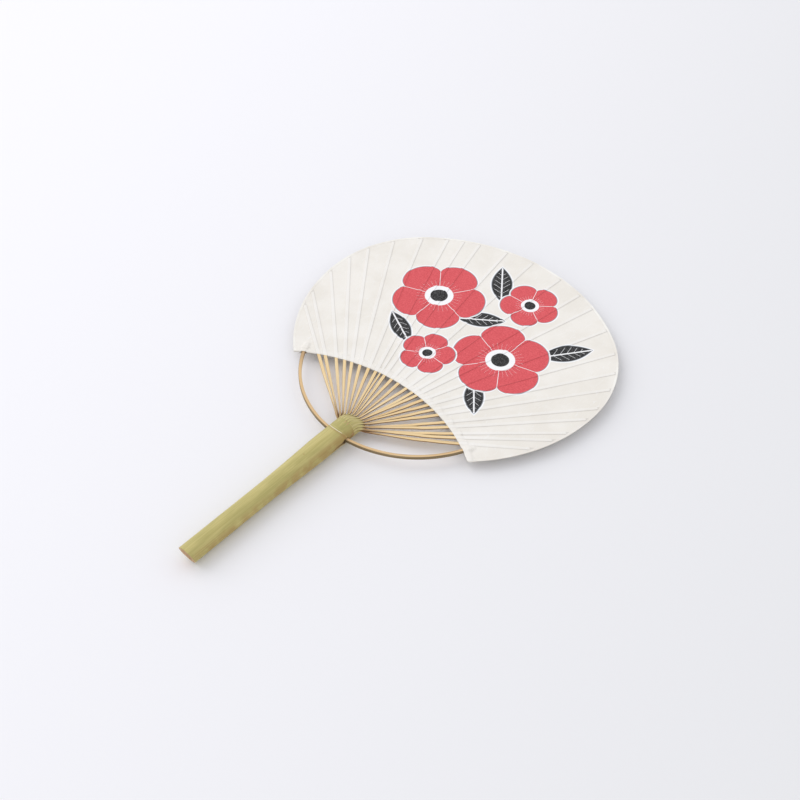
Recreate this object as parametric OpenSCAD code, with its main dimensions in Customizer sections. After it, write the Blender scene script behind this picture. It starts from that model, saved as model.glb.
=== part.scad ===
// Round-handled uchiwa fan lying on its back: one culm of bamboo whose upper end
// is split into ribs, a bow through the culm, a woven thread, a paper on each face
// and a folded strip round the rim. Y runs from the handle to the top of the head.

/* [Head] */
// Width of the paper head, over the edging
head_w = 240; // [180:1:300]
// Height of the head above its widest line
head_rise = 99; // [80:1:115]
// Radius of the two shoulders of the head
shoulder_r = 88; // [80:1:94]
// Distance from the bow hole to the widest line of the head
widest_y = 127; // [115:1:135]
// Distance from the bow hole to the middle of the paper's lower edge
hem_y = 62; // [56:1:68]
// Radius of the paper's curved lower edge
hem_r = 139; // [130:1:150]
// Thickness of each sheet of paper, with its paste
paper_t = 0.15; // [0.1:0.05:0.3]
// Width of the edging strip on each face
edging_w = 1.6; // [1:0.1:3]
// Thickness of the edging strip
edging_t = 0.1; // [0.05:0.05:0.2]

/* [Culm] */
// Length of the culm from the bow hole to the middle of the handle's end
handle_len = 138; // [110:1:180]
// Diameter of the grip
grip_d = 13.8; // [12:0.1:15]
// Length of the grip stretch that is truly round and straight
grip_len = 72; // [50:1:90]
// Diameter of the culm just below its node
neck_d = 16.2; // [15.4:0.1:17]
// Diameter of the ring at the node
node_d = 16.8; // [16:0.1:18]
// Thickness of the culm's wall in the grip
culm_wall = 2.2; // [1.6:0.1:3]
// Length of the unsplit crown above the bow hole
crown_len = 7; // [5:0.5:10]
// Slant of the cut at the handle's end, in degrees
end_slant = 15; // [0:1:25]
// Lean of the handle to the left of the head's centre line, in degrees
handle_lean = 1.2; // [0:0.1:3]
// Sideways place of the culm on the head's centre line
culm_x = -2; // [-4:0.5:4]
// Height of the culm's axis above the plane of the paper
culm_rise = 1; // [0:0.1:1.4]
// Length of the drying split below the bow hole
split_len = 14; // [4:1:20]
// Length of the willow plug in the handle's end
plug_len = 30; // [15:1:50]

/* [Ribs] */
// Number of ribs split from the culm
rib_count = 24; // [16:2:24]
// Angle from the first rib to the last, in degrees
fan_angle = 109; // [100:1:110]
// Thickness of a rib where it is split from the crown
rib_root_t = 1.3; // [1:0.1:1.6]
// Thickness of a rib under the paper
rib_t = 0.9; // [0.6:0.1:1.2]
// Width of a rib at the paper's lower edge
rib_w = 2.4; // [1.8:0.1:2.6]
// Width of a rib where it is whittled, just past the crown
rib_waist_w = 1.15; // [0.9:0.05:1.4]
// Width of a rib at its tip
rib_tip_w = 1.8; // [1.2:0.1:2]
// Width of the one rib that was split too thin
thin_rib_w = 1.4; // [1:0.1:2]
// Distance of the rib tips from the edging strip
rib_tip_gap = 1.2; // [1:0.1:4]

/* [Bow] */
// Outer radius of the bow
bow_r = 83.7; // [82:0.1:86]
// Distance from the hub to the centre of the bow's curve
bow_y = 81.3; // [80:0.1:83]
// Sideways place of the bow
bow_x = -1.5; // [-3:0.5:3]
// Width of the bow across its skin
bow_w = 2.3; // [1.8:0.1:2.8]
// Height of the bow
bow_t = 2.6; // [2:0.1:3]
// Half of the angle that the bow covers, in degrees
bow_half_angle = 67; // [67:0.5:69]
// Length of each whittled tip of the bow
bow_tip_len = 9.5; // [6:0.5:12]
// Thickness of the bow at its very tip
bow_tip_t = 1.5; // [1:0.1:2]
// Clearance round the bow in its hole
bow_hole_gap = 0.35; // [0.2:0.05:0.6]

/* [Thread] */
// Diameter of the weaving thread
thread_d = 0.5; // [0.3:0.05:0.7]
// Distance of the woven line from the paper's lower edge
thread_inset = 4.5; // [3:0.5:7]
// Turns of thread lashed round each tip of the bow
lashing_turns = 3; // [2:1:4]

/* [Hidden] */
$fn = 96;
// Sides of the large circles that the paper is cut to
sheet_sides = 180;
RIBS = [for (i = [0:rib_count - 1]) str("rib_", i < 9 ? "0" : "", i + 1)];

skin_color = [0.70, 0.66, 0.42];
flesh_color = [0.90, 0.76, 0.54];
paper_color = [0.95, 0.94, 0.91];
strip_color = [0.97, 0.96, 0.94];
thread_color = [0.93, 0.90, 0.82];
plug_color = [0.66, 0.52, 0.38];

// Small overrun of every cut past the face it opens
over = 0.5;
// Slip between the plug and the bore, and beside a rib in its paper
plug_gap = 0.05;
lane_gap = 0.1;

// Culm
grip_r = grip_d / 2;
neck_r = neck_d / 2;
node_r = node_d / 2;
bore_r = grip_r - culm_wall;
node_low = -4.5;
node_high = -2.5;
neck_y = -21;
ring_slope = 1;
diaphragm_t = 2;
split_half_w = 0.3;
grip_end = -handle_len + grip_len;
end_over = grip_r * tan(end_slant);
crown_bore_r = neck_r - rib_root_t;
root_r = neck_r - rib_root_t / 2;

// The head lies with the node's ring on the floor; the box is centred on the frame
plane_z = node_r - culm_rise;
top_y = widest_y + head_rise;
low_y = -(handle_len + end_over) * cos(handle_lean);
mid_y = (top_y + low_y) / 2;

// Head outline: a wide arc over the top, two shoulder arcs and a half circle below
half_w = head_w / 2;
shoulder_x = half_w - shoulder_r;
crest_r = (half_w * half_w + head_rise * head_rise - 2 * half_w * shoulder_r)
    / (2 * (head_rise - shoulder_r));
crest_y = top_y - crest_r;
crest_angle = atan2(shoulder_x, widest_y - crest_y);
hem_cy = hem_y - hem_r;

// Ribs: the fan is nearly even; each was split by hand and strays a little
rib_drift = [0.5, -1, 0, 0, -0.5, 0, 1, 1.5, 0, -1.5, -0.5, 0.5,
    2.5, 3, 2, 2.5, 3, 3, 3, 4.5, 3.5, 3.5, 1.5, 0.5];
thin_rib = 8;
// Ribs right of the middle bend outward a little more under the paper, in degrees
bend_angle = 3.5;
bend_at_angle = 28;
bend_spread_angle = 13;
// Ribs run on past the crown, then turn out at a knee, lower on the fan's two flanks
knee_reach_mid = 9.5;
knee_drop_left = 0.95;
knee_drop_right = 0.65;
knee_trim = 4;
// Gap left between neighbouring ribs by the knife
root_slit = 0.35;
root_pitch = 2 * root_r * sin(180 / rib_count);
// Step along a rib over which its direction is taken
rib_step = 0.5;
// Length over which a rib comes down from the crown's circle to the head's plane
level_len = 14;
// Length over which it is thinned, and then whittled to its waist and broad again
thin_len = 6;
waist_from = 4.5;
waist_len = 9;
broad_len = 38.5;
// Front and back ribs keep this far from the plane until they lie side by side
layer_gap = 0.5;
layer_from = 42;
layer_len = 9;
// Ribs are flat this far before the paper begins
flat_before_hem = 2;
rib_stops = [0, 1.2, 2.6, 4, 5.4, 6.8, 8.2, 9.6, 11.2, 13, 16, 22, 30, 42, 46, 51];

// Bow
bow_inner_r = bow_r - bow_w;
bow_mid_r = bow_r - bow_w / 2;
bow_skin_r = 2.2;
bow_tip_angle = bow_tip_len / bow_mid_r * 180 / PI;
bow_taper = atan2((bow_t - bow_tip_t) / 2, bow_tip_len);
bow_low_y = bow_y - bow_mid_r;
bow_sag = 0.4;
bow_hole_r = norm([bow_w / 2 + bow_sag, bow_t / 2]) + bow_hole_gap;

// Thread
thread_r = thread_d / 2;
thread_slip = 0.02;
thread_cr = hem_r + thread_inset;
thread_z = rib_t / 2 + thread_r + thread_slip;
thread_sides = 6;
thread_rest = 0.04;
lashing_gap = 0.2;
lashing_pitch = thread_d + lashing_gap;
lash_half_w = bow_w / 2 + thread_r + thread_rest;

// Heights of the raised paper, measured from the glued plane
rib_lane_h = rib_t / 2;
thread_lane_h = thread_z + thread_r + thread_rest;
bow_lane_h = bow_t / 2 + thread_r + thread_rest;
// Angle by which the raised patch starts before the bow's whittled tip
bow_lane_lead_angle = 4;

function unit(v) = v / norm(v);
function ease(t) = t * t * (3 - 2 * t);
function clamp(t) = min(1, max(0, t));
function mix(a, b, t) = a * (1 - t) + b * t;
function heading(a) = [sin(a), cos(a)];

// Distance along a ray at angle a from the hub to the far side of a circle
function ray_to_circle(a, cx, cy, r) = cx * sin(a) + cy * cos(a)
    + sqrt(r * r - pow(cx * cos(a) - cy * sin(a), 2));

// Distance from the hub to the rim, less an inset, at angle a from the centre line
function rim_reach(a, inset) =
    let (t = abs(a),
        joint = [0, crest_y] + (crest_r - inset) * heading(crest_angle))
    t < atan2(joint.x, joint.y) ? ray_to_circle(t, 0, crest_y, crest_r - inset)
    : t < atan2(half_w - inset, widest_y)
        ? ray_to_circle(t, shoulder_x, widest_y, shoulder_r - inset)
    : ray_to_circle(t, 0, widest_y, half_w - inset);

// A point in the culm's own axes, moved into the head's
function culm_point(p) = [
    culm_x + p.x * cos(handle_lean) + p.y * sin(handle_lean),
    -p.x * sin(handle_lean) + p.y * cos(handle_lean),
    p.z + culm_rise
];
function culm_vector(v) = culm_point(v) - culm_point([0, 0, 0]);

function rib_angle(i) = fan_angle * (i / (rib_count - 1) - 0.5)
    + rib_drift[i % len(rib_drift)];
function rib_bend(i) = bend_angle * exp(-pow((rib_angle(i) - bend_at_angle) / bend_spread_angle, 2));
function rib_width(i) = i == thin_rib ? thin_rib_w : rib_w;
function rib_gate(i) = heading(rib_angle(i))
    * ray_to_circle(rib_angle(i), 0, hem_cy, hem_r - flat_before_hem);
function rib_tip(i) =
    let (a = rib_angle(i) + rib_bend(i))
    heading(a) * rim_reach(a, edging_w + rib_tip_gap);
function rib_way(i) = unit(rib_tip(i) - rib_gate(i));

// Each rib's place round the culm: even ones from its front, odd ones from its back
function rib_side(i) = i % 2 == 0 ? 1 : -1;
function rib_turn(i) = rib_side(i) * (180 - 180 / rib_count * (i + 0.5));
function rib_root(i) = culm_point(
    [root_r * cos(rib_turn(i)), crown_len, root_r * sin(rib_turn(i))]);
function rib_root_across(i) = rib_side(i)
    * culm_vector([sin(rib_turn(i)), 0, -cos(rib_turn(i))]);

// Path in plan: on along the culm, round the knee, and out to the paper's lower edge
function rib_start(i) = [rib_root(i).x, rib_root(i).y];
function knee_reach(i) =
    let (flank = pow(cos(rib_turn(i)), 4),
        drop = i < rib_count / 2 ? knee_drop_left : knee_drop_right)
    knee_reach_mid * (1 - drop * flank);
function rib_knee(i) = rib_start(i) + knee_reach(i) * heading(handle_lean);
function rib_len(i) = knee_reach(i) + norm(rib_gate(i) - rib_knee(i));
function rib_plan(i, s) =
    let (on = heading(handle_lean),
        near = knee_reach(i),
        knee = rib_knee(i),
        far = norm(rib_gate(i) - knee),
        out = unit(rib_gate(i) - knee),
        trim = min(near, knee_trim),
        q = (s - near + trim) / (2 * trim),
        v = max(0, (s - near) / far),
        way = rib_way(i),
        bow_out = far * tan(atan2(way.x, way.y) - atan2(out.x, out.y)))
    (q < 0 ? rib_start(i) + s * on
        : q > 1 ? knee + (s - near) * out
        : knee - trim * (1 - q) * (1 - q) * on + trim * q * q * out)
    + bow_out * (v * v * v - v * v) * [out.y, -out.x];
function level(s) = ease(clamp(s / level_len));
function rib_height(i, s) = rib_root(i).z * (1 - level(s))
    + rib_side(i) * layer_gap * level(s) * (1 - ease(clamp((s - layer_from) / layer_len)));
function rib_centre(i, s) = [rib_plan(i, s).x, rib_plan(i, s).y, rib_height(i, s)];
function rib_across_w(i, s) =
    let (full = rib_width(i), waist = min(rib_waist_w, 0.6 * full))
    mix(mix(min(root_pitch - root_slit, full), waist, ease(clamp((s - waist_from) / waist_len))),
        full, ease(clamp((s - waist_from - waist_len) / broad_len)));

// Four corners of a rib across its length
function rib_ring(centre, along, across, w, t) =
    let (x = unit(across - along * (across * along)) * w / 2,
        y = unit(cross(x, along)) * t / 2)
    [centre - x - y, centre + x - y, centre + x + y, centre - x + y];
function rib_stop_ring(i, s) =
    let (along = s == 0 ? culm_vector([0, 1, 0])
            : unit(rib_centre(i, min(rib_len(i), s + rib_step)) - rib_centre(i, s - rib_step)),
        flat = [rib_way(i).y, -rib_way(i).x, 0])
    rib_ring(rib_centre(i, s), along,
        mix(rib_root_across(i), flat, level(s)),
        rib_across_w(i, s),
        mix(rib_root_t, rib_t, ease(clamp(s / thin_len))));

// Joins rings of points into a closed tube
module tube(rings, sides) {
    last = len(rings) - 1;
    polyhedron(
        points = [for (ring = rings) each ring],
        faces = concat(
            [[for (k = [0:sides - 1]) k]],
            [[for (k = [sides - 1:-1:0]) last * sides + k]],
            [for (r = [0:last - 1], k = [0:sides - 1])
                let (a = r * sides + k, b = r * sides + (k + 1) % sides)
                each [[a, a + sides, b + sides], [a, b + sides, b]]]
        )
    );
}

// Moves the head's own axes, with the hub at the origin, into the frame
module in_frame() {
    translate([0, -mid_y, plane_z]) children();
}

// The culm's axes: Y along the culm, the bow hole at the origin
module in_culm() {
    in_frame() translate([culm_x, 0, culm_rise]) rotate([0, 0, -handle_lean]) children();
}

// Everything past the slanted end of the handle
module end_cut() {
    translate([0, -handle_len, 0])
        rotate([end_slant, 0, 0])
            translate([-node_d, -2 * node_d, -node_d]) cube(2 * node_d);
}

module handle() {
    color(skin_color) in_culm() difference() {
        rotate([-90, 0, 0]) rotate_extrude() polygon([
            [bore_r, -handle_len - end_over - over],
            [grip_r, -handle_len - end_over - over],
            [grip_r, grip_end],
            [neck_r, neck_y],
            [neck_r, node_low - ring_slope],
            [node_r, node_low],
            [node_r, node_high],
            [neck_r, node_high + ring_slope],
            [neck_r, crown_len],
            [crown_bore_r, crown_len],
            [crown_bore_r, node_low + diaphragm_t],
            [0, node_low + diaphragm_t],
            [0, node_low],
            [bore_r, node_low]
        ]);
        end_cut();
        // Hole that the bow passes through
        translate([0, bow_low_y, -culm_rise]) rotate([0, 90, 0])
            cylinder(r = bow_hole_r, h = 2 * node_d, center = true);
        // Drying split that runs down from the hole
        translate([0, bow_low_y, -culm_rise]) rotate([90, 0, 90])
            linear_extrude(node_d) polygon([
                [0, split_half_w],
                [0, -split_half_w],
                [-bow_hole_r - split_len, 0]
            ]);
    }
}

module handle_plug() {
    color(plug_color) in_culm() difference() {
        translate([0, -handle_len - end_over - over, 0]) rotate([-90, 0, 0])
            cylinder(r = bore_r - plug_gap, h = plug_len + end_over + over);
        end_cut();
    }
}

// Angled cut that whittles one face of the bow's right tip
module bow_tip_cut() {
    start = bow_half_angle - bow_tip_angle;
    translate([bow_mid_r * sin(start), -bow_mid_r * cos(start), bow_t / 2])
        rotate([0, 0, start]) rotate([0, bow_taper, 0])
            translate([0, -bow_w, 0]) cube([2 * bow_tip_len, 2 * bow_w, bow_t]);
}

module bow() {
    color(flesh_color) in_frame() translate([bow_x, bow_y, 0]) difference() {
        rotate([0, 0, -90 - bow_half_angle])
            rotate_extrude(angle = 2 * bow_half_angle) intersection() {
                translate([bow_inner_r, -bow_t / 2]) square([bow_w, bow_t]);
                translate([bow_r - bow_skin_r, 0]) circle(bow_skin_r);
            }
        for (side = [0, 1], face = [0, 1])
            mirror([side, 0, 0]) mirror([0, 0, face]) bow_tip_cut();
    }
}

module rib(i) {
    tip = [rib_tip(i).x, rib_tip(i).y, 0];
    way = [rib_way(i).x, rib_way(i).y, 0];
    color(flesh_color) in_frame() tube(concat(
        [for (s = concat(rib_stops, rib_len(i))) rib_stop_ring(i, s)],
        [rib_ring(tip, way, [way.y, -way.x, 0], min(rib_tip_w, rib_width(i)), rib_t)]
    ), 4);
}

// Where the thread's arc meets a rib, as an angle about the arc's centre
function crossing_angle(i) =
    let (g = rib_gate(i) - [0, hem_cy],
        d = rib_way(i),
        b = g * d,
        p = g + d * (-b + sqrt(b * b - g * g + thread_cr * thread_cr)))
    atan2(p.x, p.y);
function arc_point(a, z) = [thread_cr * sin(a), hem_cy + thread_cr * cos(a), z];
// Where the thread's arc meets the bow: about the arc's centre, then about the bow's
function bow_crossing(side) =
    let (d = norm([bow_x, bow_y - hem_cy]))
    atan2(bow_x, bow_y - hem_cy) + side
        * acos((d * d + thread_cr * thread_cr - bow_mid_r * bow_mid_r) / (2 * d * thread_cr));
function lash_angle(side) =
    let (p = arc_point(bow_crossing(side), 0))
    atan2(side * (p.x - bow_x), bow_y - p.y);
// Angle from a rib's middle to where the thread has cleared its edge
function clear_angle(i) = (rib_width(i) / 2 + thread_d) / thread_cr * 180 / PI
    / cos(rib_angle(i) - crossing_angle(i));

// A point of a lashing: across and up from the bow's middle line
function lash_point(side, a, across, up) = [
    bow_x + side * (bow_mid_r + across) * sin(a),
    bow_y - (bow_mid_r + across) * cos(a),
    up
];
lash_corners = [[-1, 1], [1, 1], [1, -1], [-1, -1]];
// Half of the lashing's height where the whittled tip has a given angle
function lash_half_t(a) = bow_t / 2 + thread_r + thread_rest
    - (a - bow_half_angle + bow_tip_angle) * PI / 180 * bow_mid_r * tan(bow_taper);
function lashing(side) = concat(
    [lash_point(side, lash_angle(side), -lash_half_w, 0)],
    [for (n = [0:4 * lashing_turns - 1])
        let (c = lash_corners[n % 4],
            a = lash_angle(side) + (n + 0.5) / 4 * lashing_pitch / bow_mid_r * 180 / PI)
        lash_point(side, a, c.x * lash_half_w, c.y * lash_half_t(a))]
);
function reverse(list) = [for (k = [len(list) - 1:-1:0]) list[k]];
thread_path = concat(
    reverse(lashing(-1)),
    [for (i = [0:rib_count - 1])
        let (a = crossing_angle(i), z = -rib_side(i) * thread_z)
        each [arc_point(a - clear_angle(i), z), arc_point(a + clear_angle(i), z)]],
    lashing(1)
);

// Ring round one point of a path, square to the mean of its two directions
function thread_ring(path, k) =
    let (before = path[max(0, k - 1)],
        after = path[min(len(path) - 1, k + 1)],
        here = path[k],
        back = unit(k == 0 ? after - here : here - before),
        on = unit(k == len(path) - 1 ? here - before : after - here),
        along = unit(back + on),
        up = [0.1, 0.2, 1],
        x = unit(cross(up, along)),
        y = cross(along, x))
    [for (s = [0:thread_sides - 1])
        let (turn = s * 360 / thread_sides)
        here + thread_r * (x * cos(turn) + y * sin(turn))];

module weaving_thread() {
    color(thread_color) in_frame() tube(
        [for (k = [0:len(thread_path) - 1]) thread_ring(thread_path, k)], thread_sides);
}

// Outline of the head, less an inset all round, before the lower edge is cut
module oval(inset) {
    far = 2 * head_w;
    intersection() {
        translate([0, crest_y]) circle(crest_r - inset, $fn = sheet_sides);
        polygon([
            [0, crest_y],
            [far * sin(crest_angle), crest_y + far * cos(crest_angle)],
            [-far * sin(crest_angle), crest_y + far * cos(crest_angle)]
        ]);
    }
    for (side = [-1, 1])
        translate([side * shoulder_x, widest_y]) circle(shoulder_r - inset, $fn = sheet_sides);
    intersection() {
        translate([0, widest_y]) circle(half_w - inset, $fn = sheet_sides);
        translate([-head_w, widest_y - head_w]) square([2 * head_w, head_w]);
    }
}

// The oval with the window for the hand's end of the ribs cut out of it
module sheet(inset) {
    difference() {
        oval(inset);
        translate([0, hem_cy]) circle(hem_r, $fn = sheet_sides);
    }
}

// Strip of paper that a rib lifts, widened by grow on each side
module rib_lane(i, grow) {
    gate = rib_gate(i);
    tip = rib_tip(i) + rib_way(i) * (lane_gap + grow);
    across = [rib_way(i).y, -rib_way(i).x];
    near = rib_width(i) / 2 + lane_gap + grow;
    far = min(rib_tip_w, rib_width(i)) / 2 + lane_gap + grow;
    polygon([
        gate - across * near, gate + across * near,
        tip + across * far, tip - across * far
    ]);
}

// Arc of paper that the woven thread lifts
module thread_lane(grow) {
    half = thread_r + lane_gap + grow;
    far = 2 * thread_cr;
    intersection() {
        translate([0, hem_cy]) difference() {
            circle(thread_cr + half, $fn = sheet_sides);
            circle(thread_cr - half, $fn = sheet_sides);
        }
        polygon([
            [0, hem_cy],
            [0, hem_cy] + far * heading(bow_crossing(1)),
            [0, hem_cy] + far * heading(bow_crossing(-1))
        ]);
    }
}

// Patch of paper that one tip of the bow lifts, with its lashing
module bow_lane(side, grow) {
    half = lash_half_w + thread_r + lane_gap + grow;
    first = bow_half_angle - bow_tip_angle - bow_lane_lead_angle;
    last = bow_half_angle + (lane_gap + grow) / bow_mid_r * 180 / PI;
    far = 2 * bow_r;
    translate([bow_x, bow_y]) mirror([side < 0 ? 1 : 0, 0]) intersection() {
        difference() {
            circle(bow_mid_r + half, $fn = sheet_sides);
            circle(bow_mid_r - half, $fn = sheet_sides);
        }
        polygon([
            [0, 0],
            [far * sin(first), -far * cos(first)],
            [far * sin(last), -far * cos(last)]
        ]);
    }
}

// All that lifts the paper: ribs, thread and bow tips, as upright prisms
module lifted(grow, lift, floor_z) {
    translate([0, 0, floor_z]) {
        for (i = [0:rib_count - 1])
            linear_extrude(rib_lane_h + lift - floor_z) rib_lane(i, grow);
        linear_extrude(thread_lane_h + lift - floor_z) thread_lane(grow);
        for (side = [-1, 1])
            linear_extrude(bow_lane_h + lift - floor_z) bow_lane(side, grow);
    }
}

// One sheet, pasted flat between the ribs and raised over them
module paper() {
    intersection() {
        linear_extrude(4 * bow_t) sheet(edging_t);
        difference() {
            union() {
                linear_extrude(paper_t) sheet(edging_t);
                lifted(paper_t, paper_t, 0);
            }
            lifted(0, 0, -over);
        }
    }
}

module front_paper() {
    color(paper_color) in_frame() paper();
}

module back_paper() {
    color(paper_color) in_frame() mirror([0, 0, 1]) paper();
}

// Strip folded over the rim of both sheets
module edge_binding() {
    half = paper_t + edging_t;
    color(strip_color) in_frame() difference() {
        translate([0, 0, -half]) linear_extrude(2 * half) difference() {
            sheet(0);
            oval(edging_w);
        }
        translate([0, 0, -paper_t]) linear_extrude(2 * paper_t) oval(edging_t);
    }
}

handle();
handle_plug();
bow();
for (i = [0:rib_count - 1])
    rib(i);
weaving_thread();
front_paper();
back_paper();
edge_binding();
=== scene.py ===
"""Looks of a round-handled uchiwa: split bamboo culm, bent bow and papered head."""
from __future__ import annotations

import logging
import math
from dataclasses import dataclass, field
from enum import Enum

import bmesh
import bpy
import numpy as np
from mathutils import Matrix, Vector


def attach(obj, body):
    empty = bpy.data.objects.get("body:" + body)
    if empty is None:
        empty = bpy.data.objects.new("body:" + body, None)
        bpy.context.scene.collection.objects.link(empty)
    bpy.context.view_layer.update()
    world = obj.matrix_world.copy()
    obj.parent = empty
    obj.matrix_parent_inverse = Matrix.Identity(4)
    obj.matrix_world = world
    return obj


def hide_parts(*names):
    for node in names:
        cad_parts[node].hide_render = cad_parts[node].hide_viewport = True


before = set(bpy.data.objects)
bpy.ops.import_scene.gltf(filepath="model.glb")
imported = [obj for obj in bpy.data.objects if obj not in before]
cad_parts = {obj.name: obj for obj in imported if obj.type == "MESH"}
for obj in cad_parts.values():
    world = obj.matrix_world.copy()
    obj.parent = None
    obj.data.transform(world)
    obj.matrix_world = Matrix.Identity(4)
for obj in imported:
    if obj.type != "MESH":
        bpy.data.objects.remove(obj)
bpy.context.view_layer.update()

LOG = logging.getLogger("uchiwa")
MM = 0.001
BODY = "root"
SHARP_ANGLE = 50
Colour = tuple[float, float, float]


class Face(Enum):
    """Face of the head that a piece belongs to."""

    FRONT = 1
    BACK = -1

    @property
    def other(self) -> "Face":
        """The opposite face."""
        return Face.BACK if self is Face.FRONT else Face.FRONT


def tint(red: int, green: int, blue: int) -> Colour:
    """Linear colour of a display colour given in steps of 255."""
    def linear(step: int) -> float:
        """Linear value of one display step."""
        c = step / 255
        return c / 12.92 if c <= 0.04045 else ((c + 0.055) / 1.055) ** 2.4
    return linear(red), linear(green), linear(blue)


def ease(t: np.ndarray) -> np.ndarray:
    """Smooth step from 0 to 1."""
    t = np.clip(t, 0, 1)
    return t * t * (3 - 2 * t)


def unit(v: np.ndarray) -> np.ndarray:
    """Vectors of length one along the last axis."""
    return v / np.linalg.norm(v, axis=-1, keepdims=True)


def heading(degrees: np.ndarray | float) -> np.ndarray:
    """Direction in plan at an angle from the head's centre line."""
    a = np.radians(degrees)
    return np.stack([np.sin(a), np.cos(a)], -1)


# Sizes


@dataclass(frozen=True)
class FanPlan:
    """Sizes in millimetres with the bow hole at the origin, as the solids have them."""

    head_w: float = 240.0
    head_rise: float = 99.0
    shoulder_r: float = 88.0
    widest_y: float = 127.0
    hem_y: float = 62.0
    hem_r: float = 139.0
    paper_t: float = 0.15
    edging_w: float = 1.6
    edging_t: float = 0.1
    handle_len: float = 138.0
    grip_r: float = 6.9
    grip_len: float = 72.0
    neck_r: float = 8.1
    node_r: float = 8.4
    culm_wall: float = 2.2
    crown_len: float = 7.0
    end_slant: float = 15.0
    handle_lean: float = 1.2
    culm_x: float = -2.0
    culm_rise: float = 1.0
    split_len: float = 14.0
    node_y: float = -4.57
    node_curve: float = 0.045
    node_upturn: float = 0.0002
    rib_count: int = 24
    fan_angle: float = 109.0
    rib_root_t: float = 1.3
    rib_t: float = 0.9
    rib_w: float = 2.4
    rib_tip_w: float = 1.8
    thin_rib: int = 8
    thin_rib_w: float = 1.4
    rib_tip_inset: float = 2.8
    flat_before_hem: float = 2.0
    bend_angle: float = 3.5
    bend_at_angle: float = 28.0
    bend_spread_angle: float = 13.0
    rib_waist_w: float = 1.15
    knee_reach_mid: float = 9.5
    knee_drop_left: float = 0.95
    knee_drop_right: float = 0.65
    knee_trim: float = 4.0
    level_len: float = 14.0
    thin_len: float = 6.0
    waist_from: float = 4.5
    waist_len: float = 9.0
    broad_len: float = 38.5
    layer_gap: float = 0.5
    layer_from: float = 42.0
    layer_len: float = 9.0
    bow_r: float = 83.7
    bow_x: float = -1.5
    bow_y: float = 81.3
    bow_w: float = 2.3
    bow_t: float = 2.6
    bow_half_angle: float = 67.0
    bow_tip_len: float = 9.5
    bow_tip_t: float = 1.5
    thread_r: float = 0.25
    thread_inset: float = 4.5
    lashing_w: float = 2.1
    rib_drift: tuple[float, ...] = (
        0.5, -1, 0, 0, -0.5, 0, 1, 1.5, 0, -1.5, -0.5, 0.5,
        2.5, 3, 2, 2.5, 3, 3, 3, 4.5, 3.5, 3.5, 1.5, 0.5)

    @property
    def plane_z(self) -> float:
        """Height of the paper's plane over the floor."""
        return self.node_r - self.culm_rise

    @property
    def mid_y(self) -> float:
        """Distance from the bow hole to the middle of the fan's box."""
        over = self.grip_r * math.tan(math.radians(self.end_slant))
        low = -(self.handle_len + over) * math.cos(math.radians(self.handle_lean))
        return (self.widest_y + self.head_rise + low) / 2

    @property
    def half_w(self) -> float:
        """Half of the head's width."""
        return self.head_w / 2

    @property
    def shoulder_x(self) -> float:
        """Sideways place of the shoulder arcs' centres."""
        return self.half_w - self.shoulder_r

    @property
    def crest_r(self) -> float:
        """Radius of the arc over the top of the head."""
        rise = self.head_rise
        return (self.half_w ** 2 + rise ** 2 - 2 * self.half_w * self.shoulder_r) \
            / (2 * (rise - self.shoulder_r))

    @property
    def crest_y(self) -> float:
        """Centre of the arc over the top of the head."""
        return self.widest_y + self.head_rise - self.crest_r

    @property
    def hem_cy(self) -> float:
        """Centre of the hem's arc."""
        return self.hem_y - self.hem_r

    @property
    def bow_mid_r(self) -> float:
        """Radius of the bow's middle line."""
        return self.bow_r - self.bow_w / 2

    @property
    def hub(self) -> np.ndarray:
        """Place of the bow hole on the culm's axis, in the row frame."""
        return self.row(self.culm(np.zeros(3)))

    @property
    def thread_cr(self) -> float:
        """Radius of the arc that the woven thread follows."""
        return self.hem_r + self.thread_inset

    def row(self, points: np.ndarray) -> np.ndarray:
        """Points from the fan's own millimetres to the row frame in metres."""
        return (np.asarray(points, float) + [0, -self.mid_y, self.plane_z]) * MM

    def culm(self, points: np.ndarray) -> np.ndarray:
        """Points from the culm's own axes to the fan's.

        Args:
            points: Points with Y along the culm and the bow hole at the origin.
        Returns:
            The same points with the head's axes.
        """
        p = np.asarray(points, float)
        a = math.radians(self.handle_lean)
        x = self.culm_x + p[..., 0] * math.cos(a) + p[..., 1] * math.sin(a)
        y = -p[..., 0] * math.sin(a) + p[..., 1] * math.cos(a)
        return np.stack([x, y, p[..., 2] + self.culm_rise], -1)

    @staticmethod
    def to_circle(a: np.ndarray, cx: float, cy: float, r: float) -> np.ndarray:
        """Distance from the hub at angle a to the far side of a circle."""
        s, c = np.sin(np.radians(a)), np.cos(np.radians(a))
        return cx * s + cy * c + np.sqrt(r * r - (cx * c - cy * s) ** 2)

    def rim_reach(self, a: np.ndarray, inset: float = 0.0) -> np.ndarray:
        """Distance from the hub to the rim, less an inset, at angle a."""
        t = np.abs(np.asarray(a, float))
        turn = math.degrees(math.atan2(self.shoulder_x, self.widest_y - self.crest_y))
        joint = np.array([0, self.crest_y]) + (self.crest_r - inset) * heading(turn)
        first = math.degrees(math.atan2(joint[0], joint[1]))
        second = math.degrees(math.atan2(self.half_w - inset, self.widest_y))
        crest = self.to_circle(t, 0, self.crest_y, self.crest_r - inset)
        with np.errstate(invalid="ignore"):
            shoulder = self.to_circle(t, self.shoulder_x, self.widest_y, self.shoulder_r - inset)
            low = self.to_circle(t, 0, self.widest_y, self.half_w - inset)
        return np.where(t < first, crest, np.where(t < second, shoulder, low))

    def hem_reach(self, a: np.ndarray, past: float = 0.0) -> np.ndarray:
        """Distance from the hub to the hem at angle a, plus a distance past it."""
        return self.to_circle(np.asarray(a, float), 0, self.hem_cy, self.hem_r + past)

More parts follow.
